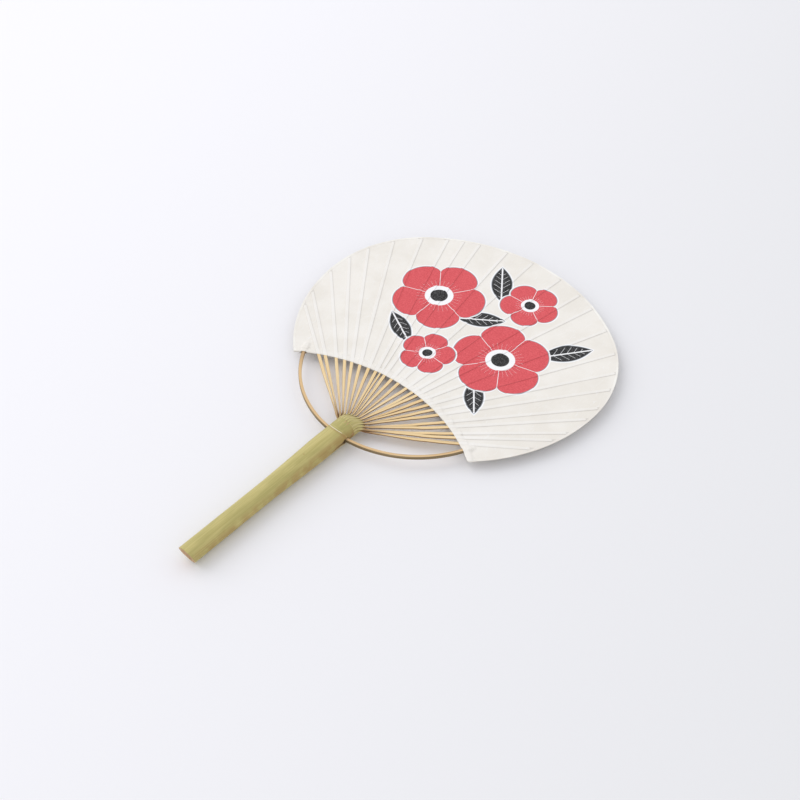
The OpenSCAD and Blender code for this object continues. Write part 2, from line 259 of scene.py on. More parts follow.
    def corner_angle(self, inset: float) -> float:
        """Angle at which the rim meets the hem."""
        low, high = 50.0, 75.0
        for _ in range(50):
            mid = (low + high) / 2
            if self.rim_reach(mid, inset) > self.hem_reach(mid):
                low = mid
            else:
                high = mid
        return low

    def rib_angle(self, i: int) -> float:
        """Angle of rib i at the hem, in degrees."""
        return self.fan_angle * (i / (self.rib_count - 1) - 0.5) + self.rib_drift[i]

    def rib_bend(self, a: np.ndarray | float) -> np.ndarray:
        """How far the ribs at angle a bend outward under the paper, in degrees."""
        off = (a - self.bend_at_angle) / self.bend_spread_angle
        return self.bend_angle * np.exp(-off ** 2)

    def rib_width(self, i: int) -> float:
        """Width of rib i at the hem."""
        return self.thin_rib_w if i == self.thin_rib else self.rib_w

    def rib_gate(self, i: int) -> np.ndarray:
        """Where rib i passes under the hem."""
        a = self.rib_angle(i)
        return heading(a) * self.hem_reach(a, -self.flat_before_hem)

    def rib_tip(self, i: int) -> np.ndarray:
        """Where rib i ends."""
        a = self.rib_angle(i) + self.rib_bend(self.rib_angle(i))
        return heading(a) * self.rim_reach(a, self.rib_tip_inset)

    def rib_way(self, i: int) -> np.ndarray:
        """Direction of rib i under the paper."""
        return unit(self.rib_tip(i) - self.rib_gate(i))

    def rib_side(self, i: int) -> int:
        """1 for a rib split from the culm's front half, -1 from its back half."""
        return 1 if i % 2 == 0 else -1

    def bow_crossing(self, side: int) -> float:
        """Angle about the hem's centre at which the thread meets the bow."""
        apart = math.hypot(self.bow_x, self.bow_y - self.hem_cy)
        share = (apart ** 2 + self.thread_cr ** 2 - self.bow_mid_r ** 2) \
            / (2 * apart * self.thread_cr)
        lean = math.degrees(math.atan2(self.bow_x, self.bow_y - self.hem_cy))
        return lean + side * math.degrees(math.acos(share))

    def lash_angle(self, side: int) -> float:
        """Angle from the bow's lowest point to its lashing on one side."""
        at = self.thread_cr * heading(self.bow_crossing(side)) + [0, self.hem_cy]
        return math.degrees(math.atan2(side * (at[0] - self.bow_x), self.bow_y - at[1]))

    def bow_half_t(self, a: np.ndarray) -> np.ndarray:
        """Half of the bow's height at angle a from its lowest point."""
        tip = math.degrees(self.bow_tip_len / self.bow_mid_r)
        share = np.clip((np.abs(a) - self.bow_half_angle + tip) / tip, 0, 1)
        return self.bow_t / 2 - share * (self.bow_t - self.bow_tip_t) / 2


PLAN = FanPlan()


# Node helpers


class Wiring:
    """Adds nodes to a tree and joins them, for shaders and for geometry."""

    def __init__(self, tree: bpy.types.NodeTree) -> None:
        """Keeps the tree to be filled."""
        self.tree = tree

    def add(self, kind: str, inputs: dict | None = None, **settings: object) -> bpy.types.Node:
        """Adds one node.

        Args:
            kind: Blender's name for the node's type.
            inputs: Values or sockets for named or numbered inputs.
            settings: Attributes set on the node before its inputs.
        Returns:
            The new node.
        """
        node = self.tree.nodes.new(kind)
        for name, value in settings.items():
            setattr(node, name, value)
        for key, value in (inputs or {}).items():
            if isinstance(key, int):
                socket = node.inputs[key]
            else:
                socket = next(s for s in node.inputs if s.name == key and s.enabled)
            self.feed(socket, value)
        return node

    def feed(self, socket: bpy.types.NodeSocket, value: object) -> None:
        """Links a socket to another one, or gives it a plain value."""
        if isinstance(value, bpy.types.NodeSocket):
            self.tree.links.new(value, socket)
        elif isinstance(value, tuple) and socket.type == "RGBA" and len(value) == 3:
            socket.default_value = (*value, 1.0)
        else:
            socket.default_value = value

    def fill(self, node: bpy.types.Node, inputs: dict[str, object]) -> None:
        """Feeds several inputs of a node by name."""
        for key, value in inputs.items():
            self.feed(node.inputs[key], value)

    def math(self, operation: str, a: object, b: object = None) -> bpy.types.NodeSocket:
        """Output of a Math node."""
        given = {0: a} if b is None else {0: a, 1: b}
        return self.add("ShaderNodeMath", given, operation=operation).outputs[0]

    def plus(self, a: object, b: object) -> bpy.types.NodeSocket:
        """The sum of two numbers."""
        return self.math("ADD", a, b)

    def minus(self, a: object, b: object) -> bpy.types.NodeSocket:
        """The first number less the second."""
        return self.math("SUBTRACT", a, b)

    def times(self, a: object, b: object) -> bpy.types.NodeSocket:
        """The product of two numbers."""
        return self.math("MULTIPLY", a, b)

    def absolute(self, a: object) -> bpy.types.NodeSocket:
        """A number without its sign."""
        return self.math("ABSOLUTE", a)

    def line(self, value: object, start: float, gain: float) -> bpy.types.NodeSocket:
        """The sum of a start and a value times a gain."""
        return self.plus(start, self.times(value, gain))

    def vector(self, operation: str, a: object, b: object) -> bpy.types.NodeSocket:
        """Vector output of a Vector Math node."""
        given = {0: a, 1: b}
        return self.add("ShaderNodeVectorMath", given, operation=operation).outputs["Vector"]

    def scale(self, v: object, by: object) -> bpy.types.NodeSocket:
        """A vector times a number."""
        node = self.add("ShaderNodeVectorMath", {0: v, "Scale": by}, operation="SCALE")
        return node.outputs["Vector"]

    def split(self, v: object) -> tuple[bpy.types.NodeSocket, ...]:
        """The three parts of a vector."""
        return tuple(self.add("ShaderNodeSeparateXYZ", {0: v}).outputs)

    def join(self, x: object, y: object, z: object) -> bpy.types.NodeSocket:
        """A vector of three numbers."""
        return self.add("ShaderNodeCombineXYZ", {0: x, 1: y, 2: z}).outputs[0]

    def place(self) -> bpy.types.NodeSocket:
        """Object coordinates."""
        return self.add("ShaderNodeTexCoord").outputs["Object"]

    def stored(self, name: str, output: str = "Fac") -> bpy.types.NodeSocket:
        """A value that a mesh keeps on its points, read in a material."""
        return self.add("ShaderNodeAttribute", None, attribute_name=name).outputs[output]

    def noise(self, v: object, scale: float = 1.0, detail: float = 3.0,
              rough: float = 0.5) -> bpy.types.NodeSocket:
        """Value output of a Noise node."""
        given = {"Vector": v, "Scale": scale, "Detail": detail, "Roughness": rough}
        return self.add("ShaderNodeTexNoise", given, noise_dimensions="3D").outputs[0]

    def drawn_out(self, v: object, scale: object, detail: float,
                  rough: float = 0.5) -> bpy.types.NodeSocket:
        """Noise with its own scale on each axis."""
        return self.noise(self.vector("MULTIPLY", v, scale), 1, detail, rough)

    def step(self, value: object, low: object, high: object) -> bpy.types.NodeSocket:
        """Smooth step of a value from 0 at low to 1 at high."""
        given = {"Value": value, "From Min": low, "From Max": high}
        return self.add("ShaderNodeMapRange", given, interpolation_type="SMOOTHSTEP",
                        clamp=True).outputs[0]

    def mix(self, share: object, a: object, b: object) -> bpy.types.NodeSocket:
        """Colour between a and b."""
        node = self.add("ShaderNodeMix", {"Factor": share, "A": a, "B": b}, data_type="RGBA",
                        clamp_factor=True)
        return next(s for s in node.outputs if s.enabled)

    def over(self, base: object, colour: object, mask: object,
             strength: float) -> bpy.types.NodeSocket:
        """Lays a colour over a base where a mask is, as strongly as given."""
        return self.mix(self.times(mask, strength), base, colour)

    def bump(self, height: object, distance: float, strength: float) -> bpy.types.NodeSocket:
        """Normal output of a Bump node, with its distance in metres."""
        given = {"Height": height, "Distance": distance, "Strength": strength}
        return self.add("ShaderNodeBump", given).outputs[0]


def open_group(name: str, inputs: dict[str, tuple[str, object]], outputs: dict[str, str],
               kind: str = "ShaderNodeTree") -> tuple[Wiring, bpy.types.Node, bpy.types.Node]:
    """Starts a node group with named sockets.

    Args:
        name: Name of the group.
        inputs: Socket type and default value for each input's name.
        outputs: Socket type for each output's name.
        kind: Type of the tree.
    Returns:
        The wiring of the group, its input node and its output node.
    """
    tree = bpy.data.node_groups.new(name, kind)
    for key, (socket_type, value) in inputs.items():
        socket = tree.interface.new_socket(key, in_out="INPUT", socket_type=socket_type)
        if value is not None:
            socket.default_value = value
    for key, socket_type in outputs.items():
        tree.interface.new_socket(key, in_out="OUTPUT", socket_type=socket_type)
    wires = Wiring(tree)
    return wires, wires.add("NodeGroupInput"), wires.add("NodeGroupOutput")


FLOAT, VECTOR = "NodeSocketFloat", "NodeSocketVector"
LOBES = 5
LOBE_DEPTH = 0.28


def fibre_group() -> bpy.types.NodeTree:
    """Lengthwise fibres of bamboo: fine streaks, dark bundles and a height for bump."""
    w, given, out = open_group(
        "bamboo_fibre",
        {"Grain": (VECTOR, None), "Across": (FLOAT, 1500.0), "Along": (FLOAT, 25.0),
         "Bundle": (FLOAT, 0.6)},
        {"Streak": FLOAT, "Bundles": FLOAT, "Patch": FLOAT, "Height": FLOAT})
    grain, across, along = (given.outputs[k] for k in ("Grain", "Across", "Along"))
    fine = w.drawn_out(grain, w.join(across, along, across), 3, 0.6)
    third = w.times(across, 0.33)
    wide = w.drawn_out(grain, w.join(third, w.times(along, 0.5), third), 2)
    patch = w.drawn_out(grain, (170.0, 38.0, 170.0), 3, 0.6)
    bundles = w.times(w.step(wide, 0.56, 0.72), given.outputs["Bundle"])
    streak = w.plus(w.times(fine, 0.65), w.times(wide, 0.35))
    w.fill(out, {"Streak": w.step(streak, 0.32, 0.68), "Bundles": bundles,
                 "Patch": w.step(patch, 0.35, 0.68),
                 "Height": w.minus(fine, w.times(bundles, 0.5))})
    return w.tree


def speck_group() -> bpy.types.NodeTree:
    """Small dark specks, as on handled bamboo."""
    w, given, out = open_group(
        "small_marks",
        {"Grain": (VECTOR, None), "Size": (FLOAT, 900.0), "Amount": (FLOAT, 0.5)},
        {"Specks": FLOAT})
    spots = w.noise(w.scale(given.outputs["Grain"], given.outputs["Size"]), 1, 1, 0.5)
    edge = w.minus(0.86, w.times(given.outputs["Amount"], 0.16))
    w.fill(out, {"Specks": w.step(spots, edge, w.plus(edge, 0.05))})
    return w.tree


def blossom_group() -> bpy.types.NodeTree:
    """A round blossom with lobes, measured by depth inside its outline in metres."""
    w, given, out = open_group(
        "print_blossom",
        {"Vector": (VECTOR, None), "Centre": (VECTOR, None), "Radius": (FLOAT, 0.02),
         "Turn": (FLOAT, 0.0)},
        {"Depth": FLOAT, "Distance": FLOAT, "Seam": FLOAT, "Spokes": FLOAT})
    x, y, _ = w.split(w.vector("SUBTRACT", given.outputs["Vector"], given.outputs["Centre"]))
    r = w.math("SQRT", w.plus(w.times(x, x), w.times(y, y)))
    size = given.outputs["Radius"]
    angle = w.plus(w.math("ARCTAN2", y, x), given.outputs["Turn"])
    lobe = w.absolute(w.math("SINE", w.times(angle, LOBES / 2)))
    edge = w.times(size, w.plus(1 - LOBE_DEPTH, w.times(
        LOBE_DEPTH, w.math("POWER", lobe, 0.5))))
    spokes = w.math("SINE", w.times(angle, 3.0 * LOBES))
    w.fill(out, {"Depth": w.minus(edge, r), "Distance": w.math("DIVIDE", r, size),
                 "Seam": w.times(lobe, r), "Spokes": w.times(spokes, r)})
    return w.tree


def leaf_group() -> bpy.types.NodeTree:
    """A pointed leaf, measured by depth inside its outline in metres, with its veins."""
    w, given, out = open_group(
        "print_leaf",
        {"Vector": (VECTOR, None), "Centre": (VECTOR, None), "Length": (FLOAT, 0.02),
         "Width": (FLOAT, 0.008), "Turn": (FLOAT, 0.0)},
        {"Depth": FLOAT, "Vein": FLOAT})
    x0, y0, _ = w.split(w.vector("SUBTRACT", given.outputs["Vector"], given.outputs["Centre"]))
    turn = given.outputs["Turn"]
    c, s = w.math("COSINE", turn), w.math("SINE", turn)
    x = w.plus(w.times(x0, c), w.times(y0, s))
    y = w.minus(w.times(y0, c), w.times(x0, s))
    along = w.math("DIVIDE", x, given.outputs["Length"])
    swell = w.minus(1.0, w.times(along, along))
    side = w.absolute(y)
    depth = w.minus(w.times(given.outputs["Width"], swell), side)
    slant = w.minus(x, w.times(side, 0.9))
    wave = w.absolute(w.math("SINE", w.times(slant, 620.0)))
    fine = w.times(w.step(wave, 0.13, 0.05), w.step(depth, 0.0012, 0.0018))
    middle = w.step(side, 0.0007, 0.0004)
    w.fill(out, {"Depth": depth, "Vein": w.math("MAXIMUM", middle, fine)})
    return w.tree


class Groups:
    """Shader node groups, each built once when it is first used."""

    makers = {"fibre": fibre_group, "speck": speck_group, "blossom": blossom_group,
              "leaf": leaf_group}
    made: dict[str, bpy.types.NodeTree] = {}

    @classmethod
    def use(cls, wires: Wiring, name: str, inputs: dict) -> bpy.types.NodeOutputs:
        """Places a group in a material with its own values, and gives its outputs."""
        if name not in cls.made:
            cls.made[name] = cls.makers[name]()
        node = wires.add("ShaderNodeGroup", None, node_tree=cls.made[name])
        wires.fill(node, inputs)
        return node.outputs


def new_material(name: str) -> tuple[bpy.types.Material, Wiring, bpy.types.Node]:
    """An empty material with its Principled shader joined to the output."""
    material = bpy.data.materials.new(name)
    material.use_nodes = True
    material.node_tree.nodes.clear()
    w = Wiring(material.node_tree)
    shader = w.add("ShaderNodeBsdfPrincipled")
    w.add("ShaderNodeOutputMaterial", {"Surface": shader.outputs[0]})
    return material, w, shader


def culm_axes() -> tuple[Matrix, Vector]:
    """Turn and origin that bring places in the row frame to the culm's own axes."""
    return Matrix.Rotation(math.radians(PLAN.handle_lean), 3, "Z"), Vector(PLAN.hub)


# Finishes


@dataclass(frozen=True)
class BambooSkin:
    """Dried culm skin: straw green, satin, with a node line, scratches, and a blotchy brown flank
    away from the key lamp that is partly painted shade.
    """

    lit: Colour = tint(205, 192, 128)
    mid: Colour = tint(182, 170, 104)
    green: Colour = tint(158, 152, 88)
    brown: Colour = tint(158, 118, 66)
    pale: Colour = tint(246, 240, 214)
    scar_edge: tuple[float, float] = (0.00042, 0.00016)
    upper_edge: tuple[float, float] = (0.00036, 0.00012)
    upper_gap: float = 0.0017
    wobble: float = 0.0004

    def node_marks(self, w: Wiring, at: object, base: object) -> tuple[object, object, object]:
        """Draws the curved node line and the scratches on the crown past it.

        Args:
            w: Wiring of the material.
            at: Place in the culm's axes, in metres.
            base: Colour below.
        Returns:
            The new colour, the mask of the line and the mask of the scratches.
        """
        x, y, z = w.split(at)
        wide = w.times(x, x)
        curve = w.line(wide, PLAN.node_curve / MM, PLAN.node_upturn / MM ** 3)
        line = w.plus(w.times(wide, curve), PLAN.node_y * MM)
        wobble = w.times(w.minus(w.noise(at, 300, 2), 0.5), self.wobble)
        past = w.plus(w.minus(y, line), wobble)
        ends = w.times(w.step(x, 0.0063, 0.0052), w.step(z, -0.002, 0.0))
        scar = w.times(w.step(w.absolute(past), *self.scar_edge), ends)
        upper = w.absolute(w.minus(past, self.upper_gap))
        upper = w.times(w.step(upper, *self.upper_edge), ends)
        below = w.times(w.step(past, 0.0, -0.0004), w.step(past, -0.0022, -0.0008))
        crown = w.step(past, 0.0, 0.0015)
        scratch = w.drawn_out(at, (3200.0, 130.0, 3200.0), 2, 0.7)
        marks = w.times(w.step(scratch, 0.55, 0.7), crown)
        for colour, mask, strength in (
                (self.green, crown, 0.45), (self.lit, marks, 0.8), (self.brown, below, 0.4),
                (self.lit, upper, 0.5), (self.pale, scar, 0.9)):
            base = w.over(base, colour, mask, strength)
        return base, scar, marks

    def build(self) -> bpy.types.Material:
        """Builds the material in the culm's own axes."""
        material, w, shader = new_material("bamboo_skin")
        turn, hub = culm_axes()
        at = w.add("ShaderNodeMapping", {
            "Vector": w.place(), "Location": tuple(-(turn @ hub)),
            "Rotation": (0.0, 0.0, math.radians(PLAN.handle_lean))}).outputs[0]
        fibre = Groups.use(w, "fibre", {"Grain": at, "Across": 1500.0, "Along": 22.0,
                                        "Bundle": 0.35})
        specks = Groups.use(w, "speck", {"Grain": w.vector("MULTIPLY", at, (1.0, 0.55, 1.0)),
                                         "Size": 620.0, "Amount": 0.55})
        base = w.mix(fibre["Streak"], self.mid, self.lit)
        base = w.over(base, self.green, fibre["Patch"], 0.35)
        # Curved pale node line with a fainter one above it, brown just below
        base, scar, marks = self.node_marks(w, at, base)
        # Blotchy brown flank away from the key lamp, partly painted shade, and brown round the
        # drying split
        x, y, z = w.split(at)
        dark_flank_and_shade = w.times(w.step(x, 0.0045, 0.0075), w.step(w.noise(at, 120, 3), 0.3, 0.62))
        base = w.over(base, self.brown, dark_flank_and_shade, 0.55)
        level = w.absolute(w.plus(z, PLAN.culm_rise * MM))
        near = w.times(w.step(level, 0.0026, 0.0004),
                       w.times(w.step(y, -0.022, -0.006), w.step(x, 0.003, 0.006)))
        base = w.over(base, self.brown, near, 0.75)
        base = w.over(base, self.brown, specks["Specks"], 0.55)
        height = w.plus(w.plus(fibre["Height"], w.times(scar, 1.2)), w.times(marks, 0.5))
        w.fill(shader, {"Base Color": base, "Roughness": w.line(fibre["Streak"], 0.4, 0.16),
                        "Specular IOR Level": 0.4, "Normal": w.bump(height, 0.00008, 0.9)})
        return material


@dataclass(frozen=True)
class BambooFlesh:
    """Split bamboo: bright fibrous faces, flanks darker partly from the split and partly as
    painted shade, painted shade at the roots, a rest of green skin.
    """

    name: str = "bamboo_flesh"
    light: Colour = tint(252, 234, 192)
    mid: Colour = tint(230, 196, 142)
    dark: Colour = tint(118, 74, 34)
    skin: Colour = tint(178, 168, 96)
    skin_reach: float = 0.001
    skin_fade: float = 0.003
    skin_edge: tuple[float, float] = (0.8, 0.97)
    dark_flank_and_shade: float = 0.85
    dark_flank_and_shade_edge: tuple[float, float] = (0.86, 0.99)
    root_shade_reach: tuple[float, float] = (0.03, 0.004)

    def build(self) -> bpy.types.Material:
        """Builds the material on the strip's own grain, section and reach."""
        material, w, shader = new_material(self.name)
        reach, skin_at, tone, more = (
            w.stored(name) for name in ("reach", "skin", "tone", "skin_more"))
        u, _, _ = w.split(w.stored("section", "Vector"))
        across, up, along = w.split(w.stored("grain", "Vector"))
        grain = w.join(across, along, up)
        fibre = Groups.use(w, "fibre", {"Grain": grain, "Across": 3600.0, "Along": 30.0,
                                        "Bundle": 0.75})
        base = w.mix(fibre["Streak"], self.mid, self.light)
        base = w.over(base, self.dark, fibre["Bundles"], 0.55)
        # Random tone for each rib, duller on the ribs to the right as painted shade
        base = w.over(base, self.mid, w.plus(tone, w.times(fibre["Patch"], 0.4)), 0.4)
        # Darker flanks: the split faces' own darker brown, and painted shade
        base = w.over(base, self.dark, w.step(w.absolute(u), *self.dark_flank_and_shade_edge), self.dark_flank_and_shade)
        # Painted shade: dark brown at the ribs' roots by the crown, darker on the ribs to the
        # right
        root = w.times(w.step(reach, *self.root_shade_reach), w.line(tone, 0.36, 0.42))
        base = w.mix(root, base, self.dark)
        ragged = w.minus(w.drawn_out(grain, (2600.0, 60.0, 2600.0), 2), 0.5)
        ragged = w.plus(reach, w.times(ragged, 2.2 * self.skin_fade))
        skin = w.times(w.step(skin_at, *self.skin_edge), w.step(
            w.minus(ragged, more), self.skin_reach + self.skin_fade, self.skin_reach))
        green = w.mix(fibre["Streak"], self.skin, w.mix(0.4, self.skin, self.light))
        base = w.mix(skin, base, green)
        rough = w.minus(w.line(fibre["Streak"], 0.5, 0.15), w.times(skin, 0.12))
        w.fill(shader, {"Base Color": base, "Roughness": rough, "Specular IOR Level": 0.35,
                        "Normal": w.bump(fibre["Height"], 0.00009, 0.9)})
        return material


@dataclass(frozen=True)
class CutBamboo:
    """End grain and bored faces: tan with dark dots, with nearly black painted shade in the hole
    and split.
    """

    name: str = "bamboo_cut"
    light: Colour = tint(214, 180, 140)
    dark: Colour = tint(140, 98, 64)
    hole_shade: Colour = tint(34, 24, 14)

    def build(self) -> bpy.types.Material:
        """Builds the material on Object coordinates."""
        material, w, shader = new_material(self.name)
        at = w.place()
        cells = w.add("ShaderNodeTexVoronoi", {"Vector": w.vector(
            "MULTIPLY", at, (1700.0, 260.0, 1700.0)), "Scale": 1.0}).outputs["Distance"]
        dots = w.step(cells, 0.34, 0.16)
        mottle = w.noise(at, 420, 4, 0.6)
        base = w.mix(w.step(mottle, 0.3, 0.7), self.dark, self.light)
        base = w.over(base, self.dark, dots, 0.5)
        _, y, z = w.split(w.vector("SUBTRACT", at, tuple(PLAN.hub)))
        level = w.absolute(w.plus(z, PLAN.culm_rise * MM))
        # Painted shade: nearly black inside the bow hole and the split
        hole = w.times(w.times(w.step(y, -0.018, -0.016), w.step(y, 0.0045, 0.0035)),
                       w.step(level, 0.0034, 0.0028))
        base = w.over(base, self.hole_shade, hole, 0.92)
        w.fill(shader, {"Base Color": w.mix(0.35, base, self.light),
                        "Roughness": w.line(mottle, 0.6, 0.2),
                        "Normal": w.bump(w.minus(mottle, dots), 0.00008, 0.8)})
        return material


@dataclass(frozen=True)
class Washi:
    """Long-fibred paper, with or without the printed spray of blossoms."""

    name: str = "washi"
    cream: Colour = tint(243, 239, 233)
    shade: Colour = tint(236, 231, 223)
    crease_shade: Colour = tint(120, 116, 112)
    printed: bool = False
    red: Colour = tint(232, 104, 110)
    red_deep: Colour = tint(208, 82, 88)
    black: Colour = tint(40, 40, 41)
    white: Colour = tint(250, 250, 252)
    grey: Colour = tint(150, 156, 162)
    blossoms: tuple[tuple[float, float, float, float], ...] = (
        (-38.0, 150.0, 35.0, 0.3), (38.0, 126.0, 35.0, 1.0), (-6.0, 98.0, 20.0, 0.1),
        (20.0, 185.0, 22.0, 0.6))
    leaves: tuple[tuple[float, float, float, float, float], ...] = (
        (-10.0, 190.0, 19.0, 7.5, 2.2), (70.0, 162.0, 19.0, 7.5, 0.9),
        (-38.0, 106.0, 17.0, 6.5, -0.5), (2.0, 150.0, 17.0, 7.0, 0.6),
        (46.0, 86.0, 16.0, 6.5, -0.9))

    def mark(self, w: Wiring, base: object, depth: object, ink: object) -> object:
        """Lays one printed shape over what is below it.

        Args:
            w: Wiring of the material.
            base: Colour below.
            depth: Depth inside the shape's outline in metres.
            ink: Colour of the shape.
        Returns:
            The colour with a white halo, a thin grey outline and the ink.
        """
        for colour, low, high in ((self.white, -0.0016, -0.0013),
                                  (self.grey, -0.0006, -0.0003), (ink, -0.0001, 0.0002)):
            base = w.mix(w.step(depth, low, high), base, colour)
        return base

    def spray(self, w: Wiring, base: object, at: object, fibres: object) -> object:
        """Prints the leaves and then the blossoms over the paper."""
        ink = w.mix(w.step(fibres, 0.25, 0.75), self.red_deep, self.red)
        coal = w.over(self.black, self.white, w.step(fibres, 0.4, 0.8), 0.12)
        for x, y, length, width, turn in self.leaves:
            leaf = Groups.use(w, "leaf", {
                "Vector": at, "Centre": tuple(PLAN.row([x, y, 0.0])), "Length": length * MM,
                "Width": width * MM, "Turn": turn})
            veined = w.mix(leaf["Vein"], coal, self.white)
            base = self.mark(w, base, leaf["Depth"], veined)
        for x, y, radius, turn in self.blossoms:
            bloom = Groups.use(w, "blossom", {
                "Vector": at, "Centre": tuple(PLAN.row([x, y, 0.0])), "Radius": radius * MM,
                "Turn": turn})
            r = bloom["Distance"]
            seams = w.times(w.step(bloom["Seam"], 0.0007, 0.0003), w.step(r, 0.3, 0.33))
            rays = w.times(w.step(w.absolute(bloom["Spokes"]), 0.0008, 0.0004),
                           w.step(r, 0.5, 0.47))
            inked = ink
            for mask, colour in ((seams, self.white), (rays, self.white),
                                 (w.step(r, 0.31, 0.3), self.white),
                                 (w.step(r, 0.19, 0.18), coal)):
                inked = w.mix(mask, inked, colour)
            base = self.mark(w, base, bloom["Depth"], inked)
        return base

    def build(self) -> bpy.types.Material:
        """Builds the material on Object coordinates."""
        material, w, shader = new_material(self.name)
        at = w.place()
        warp = w.add("ShaderNodeTexNoise", {"Vector": at, "Scale": 90.0, "Detail": 2.0})
        bent = w.vector("ADD", at, w.scale(warp.outputs["Color"], 0.012))
        strands = []
        for angle, size in ((0.5, 1.0), (2.2, 1.3), (1.3, 0.8)):
            spun = w.add("ShaderNodeMapping", {"Vector": bent, "Rotation": (0.0, 0.0, angle),
                                               "Scale": (2200.0 * size, 140.0, 140.0)})
            strands.append(w.step(w.noise(spun.outputs[0], 1, 1, 0.5), 0.62, 0.78))
        fibres = w.math("MAXIMUM", w.math("MAXIMUM", strands[0], strands[1]), strands[2])
        pulp = w.noise(at, 900, 4, 0.65)
        cloud = w.noise(at, 45, 3, 0.55)
        base = w.mix(w.step(cloud, 0.3, 0.7), self.shade, self.cream)
        base = w.over(base, self.shade, w.step(pulp, 0.4, 0.75), 0.25)
        base = w.over(base, self.white, fibres, 0.35)
        # Painted highlight: whiter paper on the tops of the ridges over the ribs
        base = w.over(base, self.white, w.stored("crest"), 0.2)
        if self.printed:
            base = self.spray(w, base, at, pulp)
        # Painted shade: grey along the slopes of the ridges over the ribs
        base = w.over(base, self.crease_shade, w.stored("crease"), 0.2)
        height = w.plus(pulp, w.times(fibres, 0.7))
        w.fill(shader, {"Base Color": base, "Roughness": w.line(pulp, 0.78, 0.15),
                        "Specular IOR Level": 0.25, "Normal": w.bump(height, 0.00006, 0.8)})
        return material


@dataclass(frozen=True)
class TwistedCotton:
    """Plied cotton thread with a slanting twist."""

    name: str = "cotton_thread"
    light: Colour = tint(238, 232, 214)
    dark: Colour = tint(196, 186, 160)
    twist: float = 9000.0

    def build(self) -> bpy.types.Material:
        """Builds the material on Object coordinates."""
        material, w, shader = new_material(self.name)
        at = w.place()
        x, y, z = w.split(at)
        ply = w.math("SINE", w.times(w.plus(w.plus(x, y), z), self.twist))
        fuzz = w.noise(at, 6000, 3, 0.7)
        share = w.step(w.plus(ply, w.times(fuzz, 0.8)), -0.6, 0.9)
        w.fill(shader, {"Base Color": w.mix(share, self.dark, self.light),
                        "Roughness": w.line(fuzz, 0.75, 0.2),
                        "Normal": w.bump(share, 0.00005, 0.8)})
        return material


# Mesh helpers


def new_piece(name: str, vertices: np.ndarray, faces: list | np.ndarray,
              edges: list | None = None) -> bpy.types.Object:
    """Makes an object at the origin from points in metres.

    Args:
        name: Name of the piece.
        vertices: Points in the row frame.
        faces: Lists of point numbers.
        edges: Pairs of point numbers, where there are no faces.
    Returns:
        The new object, linked to the scene.
    """
    mesh = bpy.data.meshes.new(name)
    rows = faces.tolist() if isinstance(faces, np.ndarray) else faces
    mesh.from_pydata(np.asarray(vertices, float).tolist(), edges or [], rows)
    mesh.update()
    piece = bpy.data.objects.new(name, mesh)
    bpy.context.scene.collection.objects.link(piece)
    return piece


def store(mesh: bpy.types.Mesh, name: str, values: np.ndarray) -> None:
    """Writes a number or a vector for each point of a mesh."""
    values = np.asarray(values, np.float32)
    kind, key = ("FLOAT_VECTOR", "vector") if values.ndim == 2 else ("FLOAT", "value")
    mesh.attributes.new(name, kind, "POINT").data.foreach_set(key, values.ravel())


def faced_out(piece: bpy.types.Object) -> bpy.types.Object:
    """Turns the faces of a closed piece outward."""
    mesh = bmesh.new()
    mesh.from_mesh(piece.data)
    bmesh.ops.recalc_face_normals(mesh, faces=mesh.faces)
    mesh.to_mesh(piece.data)
    mesh.free()
    return piece


def smooth_sheet(piece: bpy.types.Object) -> None:
    """Shades a sheet smoothly, with sharp edges where it is cut or folded."""
    mesh = piece.data
    mesh.polygons.foreach_set("use_smooth", np.ones(len(mesh.polygons), bool))
    mesh.set_sharp_from_angle(angle=math.radians(SHARP_ANGLE))


def applied(piece: bpy.types.Object) -> bpy.types.Object:
    """Turns a piece with modifiers into a plain mesh of the same name."""
    bpy.context.view_layer.update()
    graph = bpy.context.evaluated_depsgraph_get()
    mesh = bpy.data.meshes.new_from_object(piece.evaluated_get(graph))
    name = piece.name
    bpy.data.objects.remove(piece)
    plain = bpy.data.objects.new(name, mesh)
    plain.name = name
    bpy.context.scene.collection.objects.link(plain)
    return plain


def dress(piece: bpy.types.Object, material: bpy.types.Material,
          nodes: tuple[str, ...] = ()) -> None:
    """Gives a piece its material, its body and the solids that it stands for."""
    if not piece.data.materials:
        piece.data.materials.append(material)
    if nodes:
        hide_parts(*nodes)
    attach(piece, BODY)
    LOG.info("%s: %d faces", piece.name, len(piece.data.polygons))


def grid_faces(rows: int, columns: int, start: int = 0, flip: bool = False,
               closed: bool = False) -> np.ndarray:
    """Quads of a grid of points laid out row by row.

    Args:
        rows: Number of rows.
        columns: Number of points in each row.
        start: Number of the first point.
        flip: True to turn the quads over.
        closed: True if each row is a ring.
    Returns:
        One row of four point numbers for each quad.
    """
    wide = columns if closed else columns - 1
    r, c = np.meshgrid(np.arange(rows - 1), np.arange(wide), indexing="ij")
    n = (c + 1) % columns
    quads = np.stack([r * columns + c, r * columns + n, (r + 1) * columns + n,
                      (r + 1) * columns + c], -1).reshape(-1, 4) + start
    return quads[:, ::-1] if flip else quads


# Bamboo strips


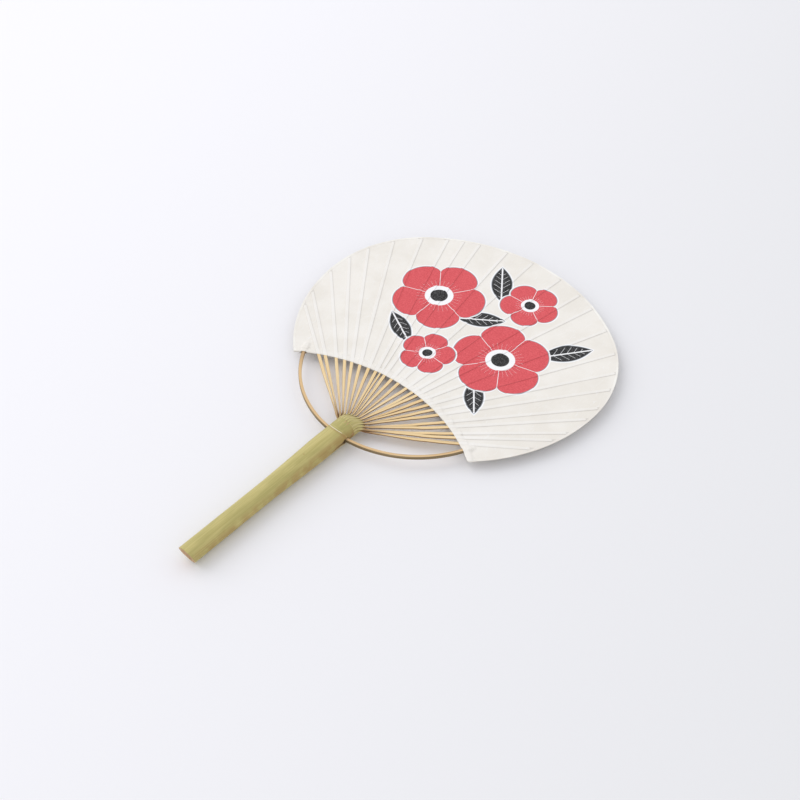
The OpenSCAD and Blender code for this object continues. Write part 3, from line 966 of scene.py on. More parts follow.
class StripTree:
    """Geometry nodes that sweep a rounded flat section along a strip's middle line."""

    def __init__(self) -> None:
        """Builds the tree once."""
        w, given, out = open_group(
            "swept_strip",
            {"Geometry": ("NodeSocketGeometry", None), "Profile Sides": ("NodeSocketInt", 24),
             "Corner": (FLOAT, 0.3), "Waver": (FLOAT, 0.00015), "Seed": (FLOAT, 0.0),
             "Finish": ("NodeSocketMaterial", None)},
            {"Geometry": "NodeSocketGeometry"}, "GeometryNodeTree")
        self.tree = w.tree
        here = w.add("GeometryNodeInputPosition").outputs[0]
        line = w.add("GeometryNodeMeshToCurve", {0: given.outputs["Geometry"]}).outputs[0]
        line = self.keep(w, line, "centre", here)
        circle = w.add("GeometryNodeCurvePrimitiveCircle", {
            "Resolution": given.outputs["Profile Sides"], "Radius": 1.0}).outputs[0]
        x, y, _ = w.split(here)
        circle = self.keep(w, circle, "section", w.join(
            self.squared(w, x, given.outputs["Corner"]),
            self.squared(w, y, given.outputs["Corner"]), 0.0))
        swept = w.add("GeometryNodeCurveToMesh", {
            "Curve": line, "Profile Curve": circle, "Fill Caps": True}).outputs[0]
        place, grain, face = self.placed(w, given.outputs["Seed"], given.outputs["Waver"])
        swept = self.keep(w, swept, "grain", grain)
        swept = self.keep(w, swept, "skin", face, "FLOAT")
        moved = w.add("GeometryNodeSetPosition", {"Geometry": swept, "Position": place}).outputs[0]
        smooth = w.add("GeometryNodeSetShadeSmooth", {"Geometry": moved}).outputs[0]
        real = w.add("GeometryNodeRealizeInstances", {0: smooth}).outputs[0]
        done = w.add("GeometryNodeSetMaterial", {
            "Geometry": real, "Material": given.outputs["Finish"]}).outputs[0]
        w.feed(out.inputs[0], done)

    def placed(self, w: Wiring, seed: object, waver: object) -> tuple[object, object, object]:
        """Place of each point of the swept strip, with what its material needs.

        Args:
            w: Wiring of the tree.
            seed: Number that shifts the strip's noise and grain.
            waver: How far the strip strays from its middle line, in metres.
        Returns:
            The place, the place along the grain and how far the point faces the skin.
        """
        section = self.read(w, "section", "FLOAT_VECTOR")
        u, v, _ = w.split(section)
        reach = self.read(w, "reach")
        sway = w.noise(w.join(w.times(reach, 70.0), seed, 0.0), 1, 2)
        girth = w.noise(w.join(w.times(reach, 150.0), u, w.plus(seed, 9.0)), 1, 2)
        loose = w.times(waver, self.read(w, "free"))
        keyed = w.times(self.read(w, "half_width"), w.plus(
            1.0, w.times(v, self.read(w, "keystone"))))
        wide = w.plus(w.times(u, w.plus(keyed, w.times(w.minus(girth, 0.5), loose))),
                      w.times(w.minus(sway, 0.5), loose))
        high = w.times(v, self.read(w, "half_height"))
        place = w.vector("ADD", self.read(w, "centre", "FLOAT_VECTOR"), w.vector(
            "ADD", w.scale(self.read(w, "across", "FLOAT_VECTOR"), wide),
            w.scale(self.read(w, "lift", "FLOAT_VECTOR"), high)))
        grain = w.join(w.plus(wide, w.times(seed, 0.37)), high,
                       w.plus(reach, w.times(seed, 0.61)))
        face = w.add("ShaderNodeVectorMath", {0: section, 1: self.read(
            w, "skin_at", "FLOAT_VECTOR")}, operation="DOT_PRODUCT").outputs["Value"]
        return place, grain, face

    @staticmethod
    def squared(w: Wiring, value: object, corner: object) -> object:
        """Pushes a point of a circle out towards a square."""
        return w.times(w.math("SIGN", value), w.math("POWER", w.absolute(value), corner))

    @staticmethod
    def keep(w: Wiring, geometry: object, name: str, value: object,
             kind: str = "FLOAT_VECTOR") -> object:
        """Stores a named value on the points of a geometry."""
        return w.add("GeometryNodeStoreNamedAttribute", {
            "Geometry": geometry, "Name": name, "Value": value},
            data_type=kind, domain="POINT").outputs[0]

    @staticmethod
    def read(w: Wiring, name: str, kind: str = "FLOAT") -> object:
        """Reads a named value back."""
        node = w.add("GeometryNodeInputNamedAttribute", {"Name": name}, data_type=kind)
        return next(s for s in node.outputs if s.enabled and s.name == "Attribute")

    def sweep(self, strip: "Strip", finish: bpy.types.Material) -> bpy.types.Object:
        """Runs the tree on one strip.

        Args:
            strip: Middle line and section of the strip.
            finish: Material that the tree sets.
        Returns:
            A plain mesh object.
        """
        count = len(strip.centre)
        piece = new_piece(strip.name, PLAN.row(strip.centre), [],
                          [(k, k + 1) for k in range(count - 1)])
        steps = np.linalg.norm(np.diff(strip.centre, axis=0), axis=1)
        for name, values in {
                "reach": np.concatenate([[0], np.cumsum(steps)]) * MM,
                "across": strip.across, "lift": strip.lift,
                "half_width": np.broadcast_to(strip.width, count) / 2 * MM,
                "half_height": np.broadcast_to(strip.height, count) / 2 * MM,
                "keystone": np.broadcast_to(strip.keystone, count),
                "skin_at": np.tile(strip.skin_at, (count, 1)),
                "tone": np.full(count, strip.tone),
                "skin_more": np.full(count, strip.skin_more * MM),
                "free": np.broadcast_to(strip.free, count)}.items():
            store(piece.data, name, values)
        modifier = piece.modifiers.new("sweep", "NODES")
        modifier.node_group = self.tree
        values = {"Profile Sides": strip.sides, "Corner": strip.corner, "Waver": strip.waver * MM,
                  "Seed": strip.seed, "Finish": finish}
        for item in self.tree.interface.items_tree:
            if item.in_out == "INPUT" and item.name in values:
                modifier[item.identifier] = values[item.name]
        return applied(piece)


@dataclass
class Strip:
    """Middle line of a bamboo strip in millimetres, with its section along the way."""

    name: str
    centre: np.ndarray
    across: np.ndarray
    lift: np.ndarray
    width: np.ndarray | float
    height: np.ndarray | float
    skin_at: tuple[float, float, float]
    seed: float
    tone: float = 0.0
    skin_more: float = 0.0
    sides: int = 24
    corner: float = 0.22
    waver: float = 0.25
    free: np.ndarray | float = 1.0
    keystone: np.ndarray | float = 0.0


@dataclass
class RibFan:
    """The ribs split from the culm, from the crown to their tips under the paper."""

    free_steps: int = 64
    held_steps: int = 16
    crowding: float = 1.4
    slit: float = 0.06
    root_sunk: float = 0.8
    waist_share: float = 0.6
    skin_past_knee: float = 1.5
    seed: int = 40
    tone_range: float = 0.8
    shade_from: int = 15
    shade_tone: float = 0.5
    tree: StripTree = field(default_factory=StripTree)

    def whole(self, first: float, free: np.ndarray, held: float) -> np.ndarray:
        """Values along a rib: in the crown, from there to the hem, and under the paper."""
        return np.concatenate([[first], free, np.full(self.held_steps - 1, held)])

    def course(self, i: int, root: np.ndarray, near: float) -> tuple[np.ndarray, np.ndarray]:
        """Plan of rib i from the crown to the hem: on along the culm and round the knee.

        Args:
            i: Number of the rib.
            root: Where the rib leaves the crown.
            near: Distance from there to the knee.
        Returns:
            Lengths along the rib, and its points in plan at those lengths.
        """
        p = PLAN
        gate, way, on = p.rib_gate(i), p.rib_way(i), heading(p.handle_lean)
        knee = root[:2] + near * on
        far = np.linalg.norm(gate - knee)
        out = unit(gate - knee)
        trim = min(near, p.knee_trim)
        run = (near + far) * np.linspace(0, 1, self.free_steps) ** self.crowding
        q = np.clip((run - near + trim) / (2 * trim), 0, 1)
        before = np.minimum(run, near - trim) - near + trim
        beyond = np.maximum(run - near - trim, 0)
        v = np.maximum(run - near, 0) / far
        turn_out = math.atan2(way[0], way[1]) - math.atan2(out[0], out[1])
        bend = far * math.tan(turn_out) * (v ** 3 - v ** 2)
        plan = knee + np.outer(before - trim * (1 - q) ** 2, on) \
            + np.outer(beyond + trim * q ** 2, out) + np.outer(bend, [out[1], -out[0]])
        return run, plan

    def widths(self, i: int, run: np.ndarray, pitch: float) -> np.ndarray:
        """Width along rib i, from the pitch at the crown over the waist to its tip."""
        p = PLAN
        full = p.rib_width(i)
        waist = min(p.rib_waist_w, self.waist_share * full)
        whittled = ease((run - p.waist_from) / p.waist_len)
        broad = ease((run - p.waist_from - p.waist_len) / p.broad_len)
        return np.concatenate([
            [pitch], pitch * (1 - whittled) + waist * whittled + (full - waist) * broad,
            np.linspace(full, min(p.rib_tip_w, full), self.held_steps)[1:]])

    def strip(self, i: int) -> Strip:
        """Rib i with its middle line, its section and its looks."""
        p = PLAN
        side = p.rib_side(i)
        turn = math.radians(side * (180 - 180 / p.rib_count * (i + 0.5)))
        c, s = math.cos(turn), math.sin(turn)
        root_r = p.neck_r - p.rib_root_t / 2
        origin = p.culm(np.zeros(3))
        root = p.culm(np.array([root_r * c, p.crown_len, root_r * s]))
        drop = p.knee_drop_left if i < p.rib_count / 2 else p.knee_drop_right
        near = p.knee_reach_mid * (1 - drop * c ** 4)
        run, plan = self.course(i, root, near)
        level = ease(run / p.level_len)
        apart = level * (1 - ease((run - p.layer_from) / p.layer_len))
        free = np.column_stack([plan, root[2] * (1 - level) + side * p.layer_gap * apart])
        gate = p.rib_gate(i)
        held = gate + (p.rib_tip(i) - gate) * np.linspace(0, 1, self.held_steps)[1:, None]
        held = np.column_stack([held, np.zeros(self.held_steps - 1)])
        inward = root - (p.culm(np.array([0, self.root_sunk, 0])) - origin)
        centre = np.vstack([inward, free, held])
        along = unit(np.gradient(centre, axis=0))
        along[:2] = unit(p.culm(np.array([0, 1, 0])) - origin)
        share = self.whole(0, level, 1)
        way = p.rib_way(i)
        root_across = side * (p.culm(np.array([s, 0, -c])) - origin)
        across = root_across * (1 - share[:, None]) \
            + np.array([way[1], -way[0], 0]) * share[:, None]
        across = unit(across - along * np.sum(across * along, -1, keepdims=True))
        turn_share = 2 * math.sin(math.pi / p.rib_count)
        pitch = turn_share * root_r - self.slit
        thinned = self.whole(0, ease(run / p.thin_len), 1)
        tone = float(np.random.default_rng(self.seed + i).uniform(0, self.tone_range))
        return Strip(
            f"rib_{i + 1:02d}_split", centre, across, np.cross(across, along),
            self.widths(i, run, pitch), p.rib_root_t * (1 - thinned) + p.rib_t * thinned,
            (0.0, float(side), 0.0), float(i + 1),
            # Ribs to the right of the crown get a larger value, for painted shade at their roots
            # and a duller face
            tone=tone + (self.shade_tone if i >= self.shade_from else 0.0),
            skin_more=near + self.skin_past_knee,
            free=self.whole(0, np.sin(np.pi * run / run[-1]) ** 0.5, 0),
            keystone=side * turn_share * p.rib_root_t / 2 / pitch * (1 - share))

    def build(self, flesh: bpy.types.Material) -> None:
        """Makes one piece for each rib."""
        for i in range(PLAN.rib_count):
            piece = self.tree.sweep(self.strip(i), flesh)
            dress(piece, flesh, (f"rib_{i + 1:02d}",))


@dataclass
class Bow:
    """The bent bow: a strip with its skin outward and both tips whittled."""

    tree: StripTree
    steps: int = 180
    seed: float = 71.0
    tone: float = 0.2
    waver: float = 0.12

    def build(self, finish: bpy.types.Material) -> None:
        """Sweeps the bow along its arc."""
        p = PLAN
        a = np.linspace(-p.bow_half_angle, p.bow_half_angle, self.steps)
        out = np.column_stack([np.sin(np.radians(a)), -np.cos(np.radians(a)), np.zeros_like(a)])
        centre = np.array([p.bow_x, p.bow_y, 0]) + p.bow_mid_r * out
        lift = np.tile([0.0, 0, 1], (self.steps, 1))
        strip = Strip("bow_bent", centre, out, lift, p.bow_w, 2 * p.bow_half_t(a),
                      (1.0, 0.0, 0.0), self.seed, tone=self.tone, waver=self.waver)
        dress(self.tree.sweep(strip, finish), finish, ("bow",))


# Culm


@dataclass
class Culm:
    """Handle and crown: a turned culm with its node, bow hole, split and slanted end."""

    around: int = 360
    neck_from: float = -21.0
    node_low: float = -8.0
    ring_h: float = 0.3
    dip_h: float = 0.1
    rough_h: tuple[float, float] = (0.05, 0.04)
    floor_y: float = -2.5
    bore_len: float = 34.0
    point_r: float = 0.02
    bow_sag: float = 0.4
    hole_gap: float = 0.35
    hole_wear: float = 0.4
    hole_sides: int = 40
    cut_reach: float = 12.0
    split_w: float = 1.6
    slit_from: float = 1.5
    slit_more: float = 3.5
    slit_fade: float = 5.0
    slit_w: float = 0.16
    slit_depth: float = 0.4
    skin_depth: float = 0.35

    def bare_radius(self, y: np.ndarray | float) -> np.ndarray:
        """Outer radius without the node at a height y, in millimetres."""
        p = PLAN
        return np.interp(y, [-p.handle_len + p.grip_len, self.neck_from], [p.grip_r, p.neck_r])

    def radius(self, x: np.ndarray, y: np.ndarray) -> np.ndarray:
        """Outer radius at a height y and sideways place x, in millimetres."""
        p = PLAN
        line = p.node_y + p.node_curve * x ** 2 + p.node_upturn * x ** 4
        ring = self.ring_h * np.exp(-((y - line + 0.5) / 0.85) ** 2)
        dip = -self.dip_h * np.exp(-((y - line - 1.1) / 0.8) ** 2)
        return self.bare_radius(y) + ring + dip

    def slits(self, a: np.ndarray, y: np.ndarray) -> np.ndarray:
        """Depth of the knife's slits between the ribs at angle a round the crown."""
        pitch = 2 * np.pi / PLAN.rib_count
        turned = a + pitch / 4
        off = np.abs(turned % pitch - pitch / 2) * PLAN.neck_r
        length = self.slit_from + self.slit_more * np.sin(7 * (turned // pitch)) ** 2
        deep = self.slit_depth * ease((y - length) / self.slit_fade)
        return deep * np.exp(-(off / self.slit_w) ** 2)

    def shell(self) -> bpy.types.Object:
        """Closed wall of the culm before it is cut."""
        p = PLAN
        over = p.grip_r * math.tan(math.radians(p.end_slant)) + 1
        foot = -p.handle_len - over
        ys = np.concatenate([
            np.linspace(foot, self.node_low, 70), np.linspace(self.node_low + 0.3, 1, 30),
            np.linspace(1.4, p.crown_len, 22)])
        a = np.linspace(0, 2 * np.pi, self.around, endpoint=False)

        def ring(radius: float, y: float) -> np.ndarray:
            """Points of one ring of the inner wall."""
            return np.stack([radius * np.cos(a), np.full_like(a, y), radius * np.sin(a)], -1)[None]

        yy, aa = np.meshgrid(ys, a, indexing="ij")
        rough = self.rough_h[0] * np.sin(3 * aa + yy * 0.05) \
            + self.rough_h[1] * np.sin(5 * aa - yy * 0.11)
        held = ((yy > -p.handle_len + p.grip_len) & (yy < self.node_low - 1)) * 1.0
        r = self.radius(p.neck_r * np.cos(aa), yy) + rough * held - self.slits(aa, yy)
        outer = np.stack([r * np.cos(aa), yy, r * np.sin(aa)], -1)
        bore, top = p.grip_r - p.culm_wall, -p.handle_len + self.bore_len
        neck = p.neck_r - p.rib_root_t
        points = np.concatenate([
            ring(self.point_r, top), ring(bore, top), ring(bore, foot), outer,
            ring(neck, p.crown_len), ring(neck, self.floor_y),
            ring(self.point_r, self.floor_y)]).reshape(-1, 3)
        rows = len(points) // self.around
        faces = grid_faces(rows, self.around, closed=True, flip=True).tolist()
        faces.append(list(range(self.around)))
        faces.append(list(range((rows - 1) * self.around, rows * self.around))[::-1])
        return faced_out(new_piece("culm_split", PLAN.row(PLAN.culm(points)), faces))

    def cutter(self, name: str, points: np.ndarray | list, faces: list) -> bpy.types.Object:
        """A hidden solid in the culm's axes that is cut from the shell."""
        return faced_out(new_piece(name, PLAN.row(PLAN.culm(np.asarray(points, float))), faces))

    def cutters(self) -> list[bpy.types.Object]:
        """Solids for the bow hole, the drying split and the slanted end."""
        p = PLAN
        low_y, reach = p.bow_y - p.bow_mid_r, self.cut_reach
        hole_r = math.hypot(p.bow_w / 2 + self.bow_sag, p.bow_t / 2) + self.hole_gap
        n = self.hole_sides
        a = np.linspace(0, 2 * np.pi, n, endpoint=False)
        ends = [np.column_stack([
            np.full(n, x), low_y - self.hole_wear + (hole_r + self.hole_wear) * np.cos(a),
            -p.culm_rise + hole_r * np.sin(a)]) for x in (-reach, reach)]
        faces = [[k, (k + 1) % n, n + (k + 1) % n, n + k] for k in range(n)]
        faces += [list(range(n)), list(range(n, 2 * n))[::-1]]
        hole = self.cutter("hole_cutter", np.vstack(ends), faces)
        z, far, gape = -p.culm_rise, low_y - hole_r - p.split_len, self.split_w / 2
        wedge = [(x, y, z + up) for y, up in ((low_y, gape), (low_y, -gape), (far, 0.0))
                 for x in (0.5, reach)]
        split = self.cutter("split_cutter", wedge,
                            [[0, 1, 3, 2], [2, 3, 5, 4], [4, 5, 1, 0], [0, 2, 4], [1, 5, 3]])
        c, s = math.cos(math.radians(p.end_slant)), math.sin(math.radians(p.end_slant))
        size = 20.0
        box = np.array([(x, y, z) for x in (-size, size) for y in (-2 * size, 0)
                        for z in (-size, size)])
        tilted = box @ np.array([[1, 0, 0], [0, c, s], [0, -s, c]])
        end = self.cutter("end_cutter", tilted + [0, -p.handle_len, 0],
                          [[0, 1, 3, 2], [4, 6, 7, 5], [0, 4, 5, 1], [2, 3, 7, 6],
                           [0, 2, 6, 4], [1, 5, 7, 3]])
        return [hole, split, end]

    def build(self, skin: bpy.types.Material, cut: bpy.types.Material) -> None:
        """Cuts the shell, and gives the cut faces the finish of open grain."""
        piece = self.shell()
        tools = self.cutters()
        for tool in tools:
            modifier = piece.modifiers.new(tool.name, "BOOLEAN")
            modifier.operation = "DIFFERENCE"
            modifier.solver = "EXACT"
            modifier.object = tool
        piece = applied(piece)
        for tool in tools:
            bpy.data.objects.remove(tool)
        piece.data.materials.clear()
        piece.data.materials.append(skin)
        piece.data.materials.append(cut)
        turn, hub = culm_axes()
        for face in piece.data.polygons:
            at = turn @ (face.center - hub) / MM
            way = turn @ face.normal
            r = math.hypot(at.x, at.z)
            radial = (at.x * way.x + at.z * way.z) / max(r, 1e-6)
            outside = radial > 0.9 and r > self.bare_radius(at.y) - self.skin_depth
            face.material_index = 0 if outside else 1
            face.use_smooth = outside
        dress(piece, skin, ("handle",))


# Paper head


def polar(xy: np.ndarray, y: float) -> tuple[np.ndarray, np.ndarray]:
    """Distances and angles in degrees of points about a centre on the Y axis."""
    rel = xy - np.array([0, y])
    return np.hypot(rel[:, 0], rel[:, 1]), np.degrees(np.arctan2(rel[:, 0], rel[:, 1]))


@dataclass
class Relief:
    """Heights of the pasted paper over the ribs, the woven thread and the bow's tips."""

    rest: float = 0.02
    rib_side: float = 0.06
    slope: float = 0.38
    end_drop: float = 0.75
    end_fade: float = 1.6
    thread_rest: float = 0.06
    thread_flat: float = 0.12
    thread_end_angle: float = 0.4
    thread_slope: float = 2.0
    band_w: float = 4.4
    band_h: float = 0.8
    band_fade: tuple[float, float] = (1.4, 1.8)
    band_end_angle: float = 4.0
    lashing_slope: float = 1.2
    bow_slope: float = 1.5
    bow_end_fade: float = 2.2
    warp_h: float = 0.07
    joint: int = 6

    def thread_line(self) -> tuple[np.ndarray, np.ndarray]:
        """Angles about the hem's centre and heights of the woven thread."""
        p = PLAN
        angles, heights = [p.bow_crossing(-1)], [0.0]
        z = p.rib_t / 2 + p.thread_r + self.rest
        for i in range(p.rib_count):
            g = p.rib_gate(i) - np.array([0, p.hem_cy])
            d = p.rib_way(i)
            b = float(g @ d)
            at = g + d * (-b + math.sqrt(b * b - float(g @ g) + p.thread_cr ** 2))
            a = math.degrees(math.atan2(at[0], at[1]))
            clear = math.degrees((p.rib_width(i) / 2 + 0.5) / p.thread_cr) \
                / math.cos(math.radians(p.rib_angle(i) - a))
            angles += [a - clear, a + clear]
            heights += [-p.rib_side(i) * z] * 2
        return np.array([*angles, p.bow_crossing(1)]), np.array([*heights, 0.0])

    def ribs(self, xy: np.ndarray) -> list[np.ndarray]:
        """Heights over each rib: a flat top with steep sides, lower past its tip."""
        p = PLAN
        layers = []
        for i in range(p.rib_count):
            gate, way = p.rib_gate(i), p.rib_way(i)
            length = float(np.linalg.norm(p.rib_tip(i) - gate))
            rel = xy - gate
            along = rel @ way
            off = np.abs(rel @ np.array([way[1], -way[0]]))
            full = p.rib_width(i)
            half = np.interp(along, [0, length], [full / 2, min(p.rib_tip_w, full) / 2])
            side = ease(1 - (off - half - self.rib_side) / self.slope)
            end = 1 - self.end_drop * ease((along - length - 0.1) / self.end_fade)
            layers.append((p.rib_t / 2 + self.rest) * side * end)
        return layers

    def share(self, xy: np.ndarray) -> np.ndarray:
        """How far the paper has risen over the ribs: 0 beside them and 1 on them."""
        return np.max(self.ribs(xy), axis=0) / (PLAN.rib_t / 2 + self.rest)

    def thread(self, xy: np.ndarray, face: Face) -> np.ndarray:
        """Heights over the woven thread where it passes on this face."""
        p = PLAN
        r, a = polar(xy, p.hem_cy)
        angles, heights = self.thread_line()
        z = np.interp(a, angles, heights * face.value)
        ends = ease((a - angles[0]) / self.thread_end_angle + 1) \
            * ease((angles[-1] - a) / self.thread_end_angle + 1)
        near = ease(1 - (np.abs(r - p.thread_cr) - p.thread_r - 0.1) / self.thread_slope)
        return np.maximum(z + p.thread_r + self.thread_rest, self.thread_flat) * ends * near

    def band(self, xy: np.ndarray) -> np.ndarray:
        """Height of the stiff band along the hem, which bridges from rib to rib."""
        past = polar(xy, PLAN.hem_cy)[0] - PLAN.hem_r
        corner = ease((PLAN.bow_half_angle - np.abs(polar(xy, 0)[1])) / self.band_end_angle)
        return self.band_h * ease(past / self.band_fade[0] + 0.3) \
            * ease((self.band_w - past) / self.band_fade[1] + 0.5) * corner

    def bow(self, xy: np.ndarray) -> np.ndarray:
        """Heights over the bow's tips and the lashings round them."""
        p = PLAN
        rel = xy - np.array([p.bow_x, p.bow_y])
        r = np.hypot(rel[:, 0], rel[:, 1])
        a = np.degrees(np.arctan2(np.abs(rel[:, 0]), -rel[:, 1]))
        lash = np.where(rel[:, 0] > 0, p.lash_angle(1), p.lash_angle(-1))
        off = np.abs(a - lash) * math.pi / 180 * p.bow_mid_r
        wound = ease(1 - (off - p.lashing_w / 2) / self.lashing_slope) * 2 * p.thread_r
        past = np.maximum(a - p.bow_half_angle, 0) * math.pi / 180 * p.bow_mid_r
        top = p.bow_half_t(np.minimum(a, p.bow_half_angle)) + 0.06 + wound
        near = ease(1 - (np.abs(r - p.bow_mid_r) - p.bow_w / 2 - 0.12 - wound) / self.bow_slope)
        return top * near * ease(1 - (past - 0.2) / self.bow_end_fade)

    def inner(self, xy: np.ndarray, face: Face) -> np.ndarray:
        """Height of the paper's inner side over the glued plane, in millimetres."""
        layers = [*self.ribs(xy), self.thread(xy, face), self.band(xy), self.bow(xy)]
        return sum(layer ** self.joint for layer in layers) ** (1 / self.joint)

    def surface(self, xy: np.ndarray, face: Face) -> tuple[np.ndarray, np.ndarray]:
        """Heights of one face, and the slight tension waves that both faces share.

        Args:
            xy: Points in plan, in millimetres.
            face: Face of the head.
        Returns:
            The inner side's height and the waves' height at each point, in millimetres.
        """
        inner = self.inner(xy, face)
        raised = np.maximum(inner, self.inner(xy, face.other))
        x, y = xy[:, 0], xy[:, 1]
        wave = np.sin(0.11 * x + 0.05 * y) * np.sin(0.045 * y - 0.03 * x + 1) \
            + 0.6 * np.sin(0.21 * x - 0.09 * y + 2) * np.sin(0.13 * y + 0.5)
        return inner, self.warp_h * wave * ease(1 - raised / 0.12)


@dataclass
class Head:
    """Both papers and the folded strip round the rim."""

    relief: Relief = field(default_factory=Relief)
    gap_columns: int = 4
    side_columns: int = 26
    half_steps: tuple[float, ...] = (0.0, 0.55, 0.86, 1.0)
    past_steps: tuple[float, ...] = (0.1, 0.3, 0.5, 0.75, 1.15)
    most_past: float = 9.0
    corner_trim: float = 0.12
    row_counts: tuple[int, int, int] = (25, 52, 10)
    hem_rows_len: float = 8.5
    rim_rows_len: float = 4.5
    least_inner: float = 0.003
    binding_edge: float = 0.12
    binding_gap: float = 0.004

    def columns(self) -> tuple[np.ndarray, np.ndarray]:
        """Angles of the sheet's columns at the hem and at the rim.

        Returns:
            Two lists of angles. Columns crowd over each rib and spread between ribs.
        """
        p = PLAN
        steps, past, most = np.array(self.half_steps), np.array(self.past_steps), self.most_past
        at_hem = np.array([p.rib_angle(i) for i in range(p.rib_count)])
        at_rim = at_hem + p.rib_bend(at_hem)
        hem_r, rim_r = p.hem_reach(at_hem), p.rim_reach(at_rim, p.edging_t)
        room = np.diff(np.radians(at_hem)) * (hem_r[1:] + hem_r[:-1]) / 2
        free = 0.47 * np.minimum(np.concatenate([[most], room]), np.concatenate([room, [most]]))
        hem, rim = [], []
        for i in range(p.rib_count):
            full = p.rib_width(i)
            for out, at, r, half, limit in (
                    (hem, at_hem[i], hem_r[i], full / 2, free[i]),
                    (rim, at_rim[i], rim_r[i], min(p.rib_tip_w, full) / 2, most)):
                span = min(past[-1], limit - half)
                right = np.concatenate([half * steps, half + past * span / past[-1]])
                out.append(at + np.degrees(np.concatenate([-right[:0:-1], right]) / r))
        corner = p.corner_angle(p.edging_t) - self.corner_trim
        hems, rims = [], []
        for out, rows in ((hems, hem), (rims, rim)):
            out.append(np.linspace(-corner, rows[0][0], self.side_columns)[:-1])
            for i, row in enumerate(rows):
                out.append(row)
                if i + 1 < len(rows):
                    out.append(np.linspace(row[-1], rows[i + 1][0], self.gap_columns + 2)[1:-1])
            out.append(np.linspace(rows[-1][-1], corner, self.side_columns)[1:])
        return np.concatenate(hems), np.concatenate(rims)

    def lattice(self) -> np.ndarray:
        """Points of the sheet in plan, one row for each distance from the hem."""
        p = PLAN
        hem, rim = self.columns()
        start = heading(hem) * p.hem_reach(hem)[:, None]
        end = heading(rim) * p.rim_reach(rim, p.edging_t)[:, None]
        length = np.linalg.norm(end - start, axis=1)
        band = np.minimum(self.hem_rows_len, 0.4 * length)
        rimmed = np.minimum(self.rim_rows_len, 0.25 * length)
        first, middle, last = (np.linspace(0, 1, count) for count in self.row_counts)
        steps = [band * q for q in first]
        steps += [band + (length - band - rimmed) * q for q in middle[1:]]
        steps += [length - rimmed * (1 - q) for q in last[1:]]
        way = (end - start) / length[:, None]
        return np.stack([start + way * s[:, None] for s in steps])

    def sheet(self, face: Face, material: bpy.types.Material) -> None:
        """Makes one paper with its relief and its thickness."""
        p = PLAN
        grid = self.lattice()
        rows, count = grid.shape[:2]
        xy = grid.reshape(-1, 2)
        inner, warp = self.relief.surface(xy, face)
        low = np.maximum(inner, self.least_inner) * face.value + warp
        high = (inner + p.paper_t) * face.value + warp
        points = np.vstack([np.column_stack([xy, high]), np.column_stack([xy, low])])
        size = rows * count
        front = face is Face.FRONT
        faces = [grid_faces(rows, count, 0, flip=not front),
                 grid_faces(rows, count, size, flip=front)]
        numbers = np.arange(size).reshape(rows, count)
        border = np.concatenate([numbers[0], numbers[1:, -1], numbers[-1, -2::-1],
                                 numbers[-2:0:-1, 0]])
        after = np.roll(border, -1)
        wall = np.stack([border, border + size, after + size, after], -1)
        faces.append(wall if front else wall[:, ::-1])
        side = face.name.lower()
        piece = new_piece(f"{side}_washi", p.row(points), np.vstack(faces))
        smooth_sheet(piece)
        share = self.relief.share(xy)
        # crease marks the ridge slopes for the painted shade
        store(piece.data, "crease", np.tile(4 * share * (1 - share), 2))
        # crest marks the ridge tops for the painted highlight
        store(piece.data, "crest", np.tile(ease(4 * share - 3), 2))
        dress(piece, material, (f"{side}_paper",))

    def binding(self, material: bpy.types.Material) -> None:
        """Makes the strip that is folded over the rim of both papers."""
        p = PLAN
        rim = self.columns()[1]
        insets = [p.edging_w, p.edging_w * 0.6, 0.35, 0.05]
        inside, gap = p.edging_t - 0.01, self.binding_gap

        def line(inset: float) -> np.ndarray:
            """Points in plan at one distance from the rim, ending at the hem."""
            a = rim * (p.corner_angle(inset) - self.corner_trim) / rim[-1]
            return heading(a) * p.rim_reach(a, inset)[:, None]

        def level(inset: float, face: Face, grow: float) -> np.ndarray:
            """Points of one line of the strip on one face."""
            xy = line(inset)
            inner, warp = self.relief.surface(xy, face)
            return np.column_stack([xy, (inner + p.paper_t + grow) * face.value + warp])

        edge = [np.column_stack([line(0.0), np.full(len(rim), z)])
                for z in (self.binding_edge, -self.binding_edge)]
        loop = [level(i, Face.FRONT, p.edging_t) for i in insets] + edge \
            + [level(i, Face.BACK, p.edging_t) for i in reversed(insets)] \
            + [level(p.edging_w, Face.BACK, gap), level(inside, Face.BACK, gap),
               level(inside, Face.FRONT, gap), level(p.edging_w, Face.FRONT, gap)]
        rings = np.stack(loop, 1)
        count, sides = rings.shape[:2]
        faces = grid_faces(count, sides, closed=True).tolist()
        faces.append(list(range(sides))[::-1])
        faces.append(list(range((count - 1) * sides, count * sides)))
        piece = faced_out(new_piece("rim_binding", p.row(rings.reshape(-1, 3)), faces))
        smooth_sheet(piece)
        dress(piece, material, ("edge_binding",))


# Studio


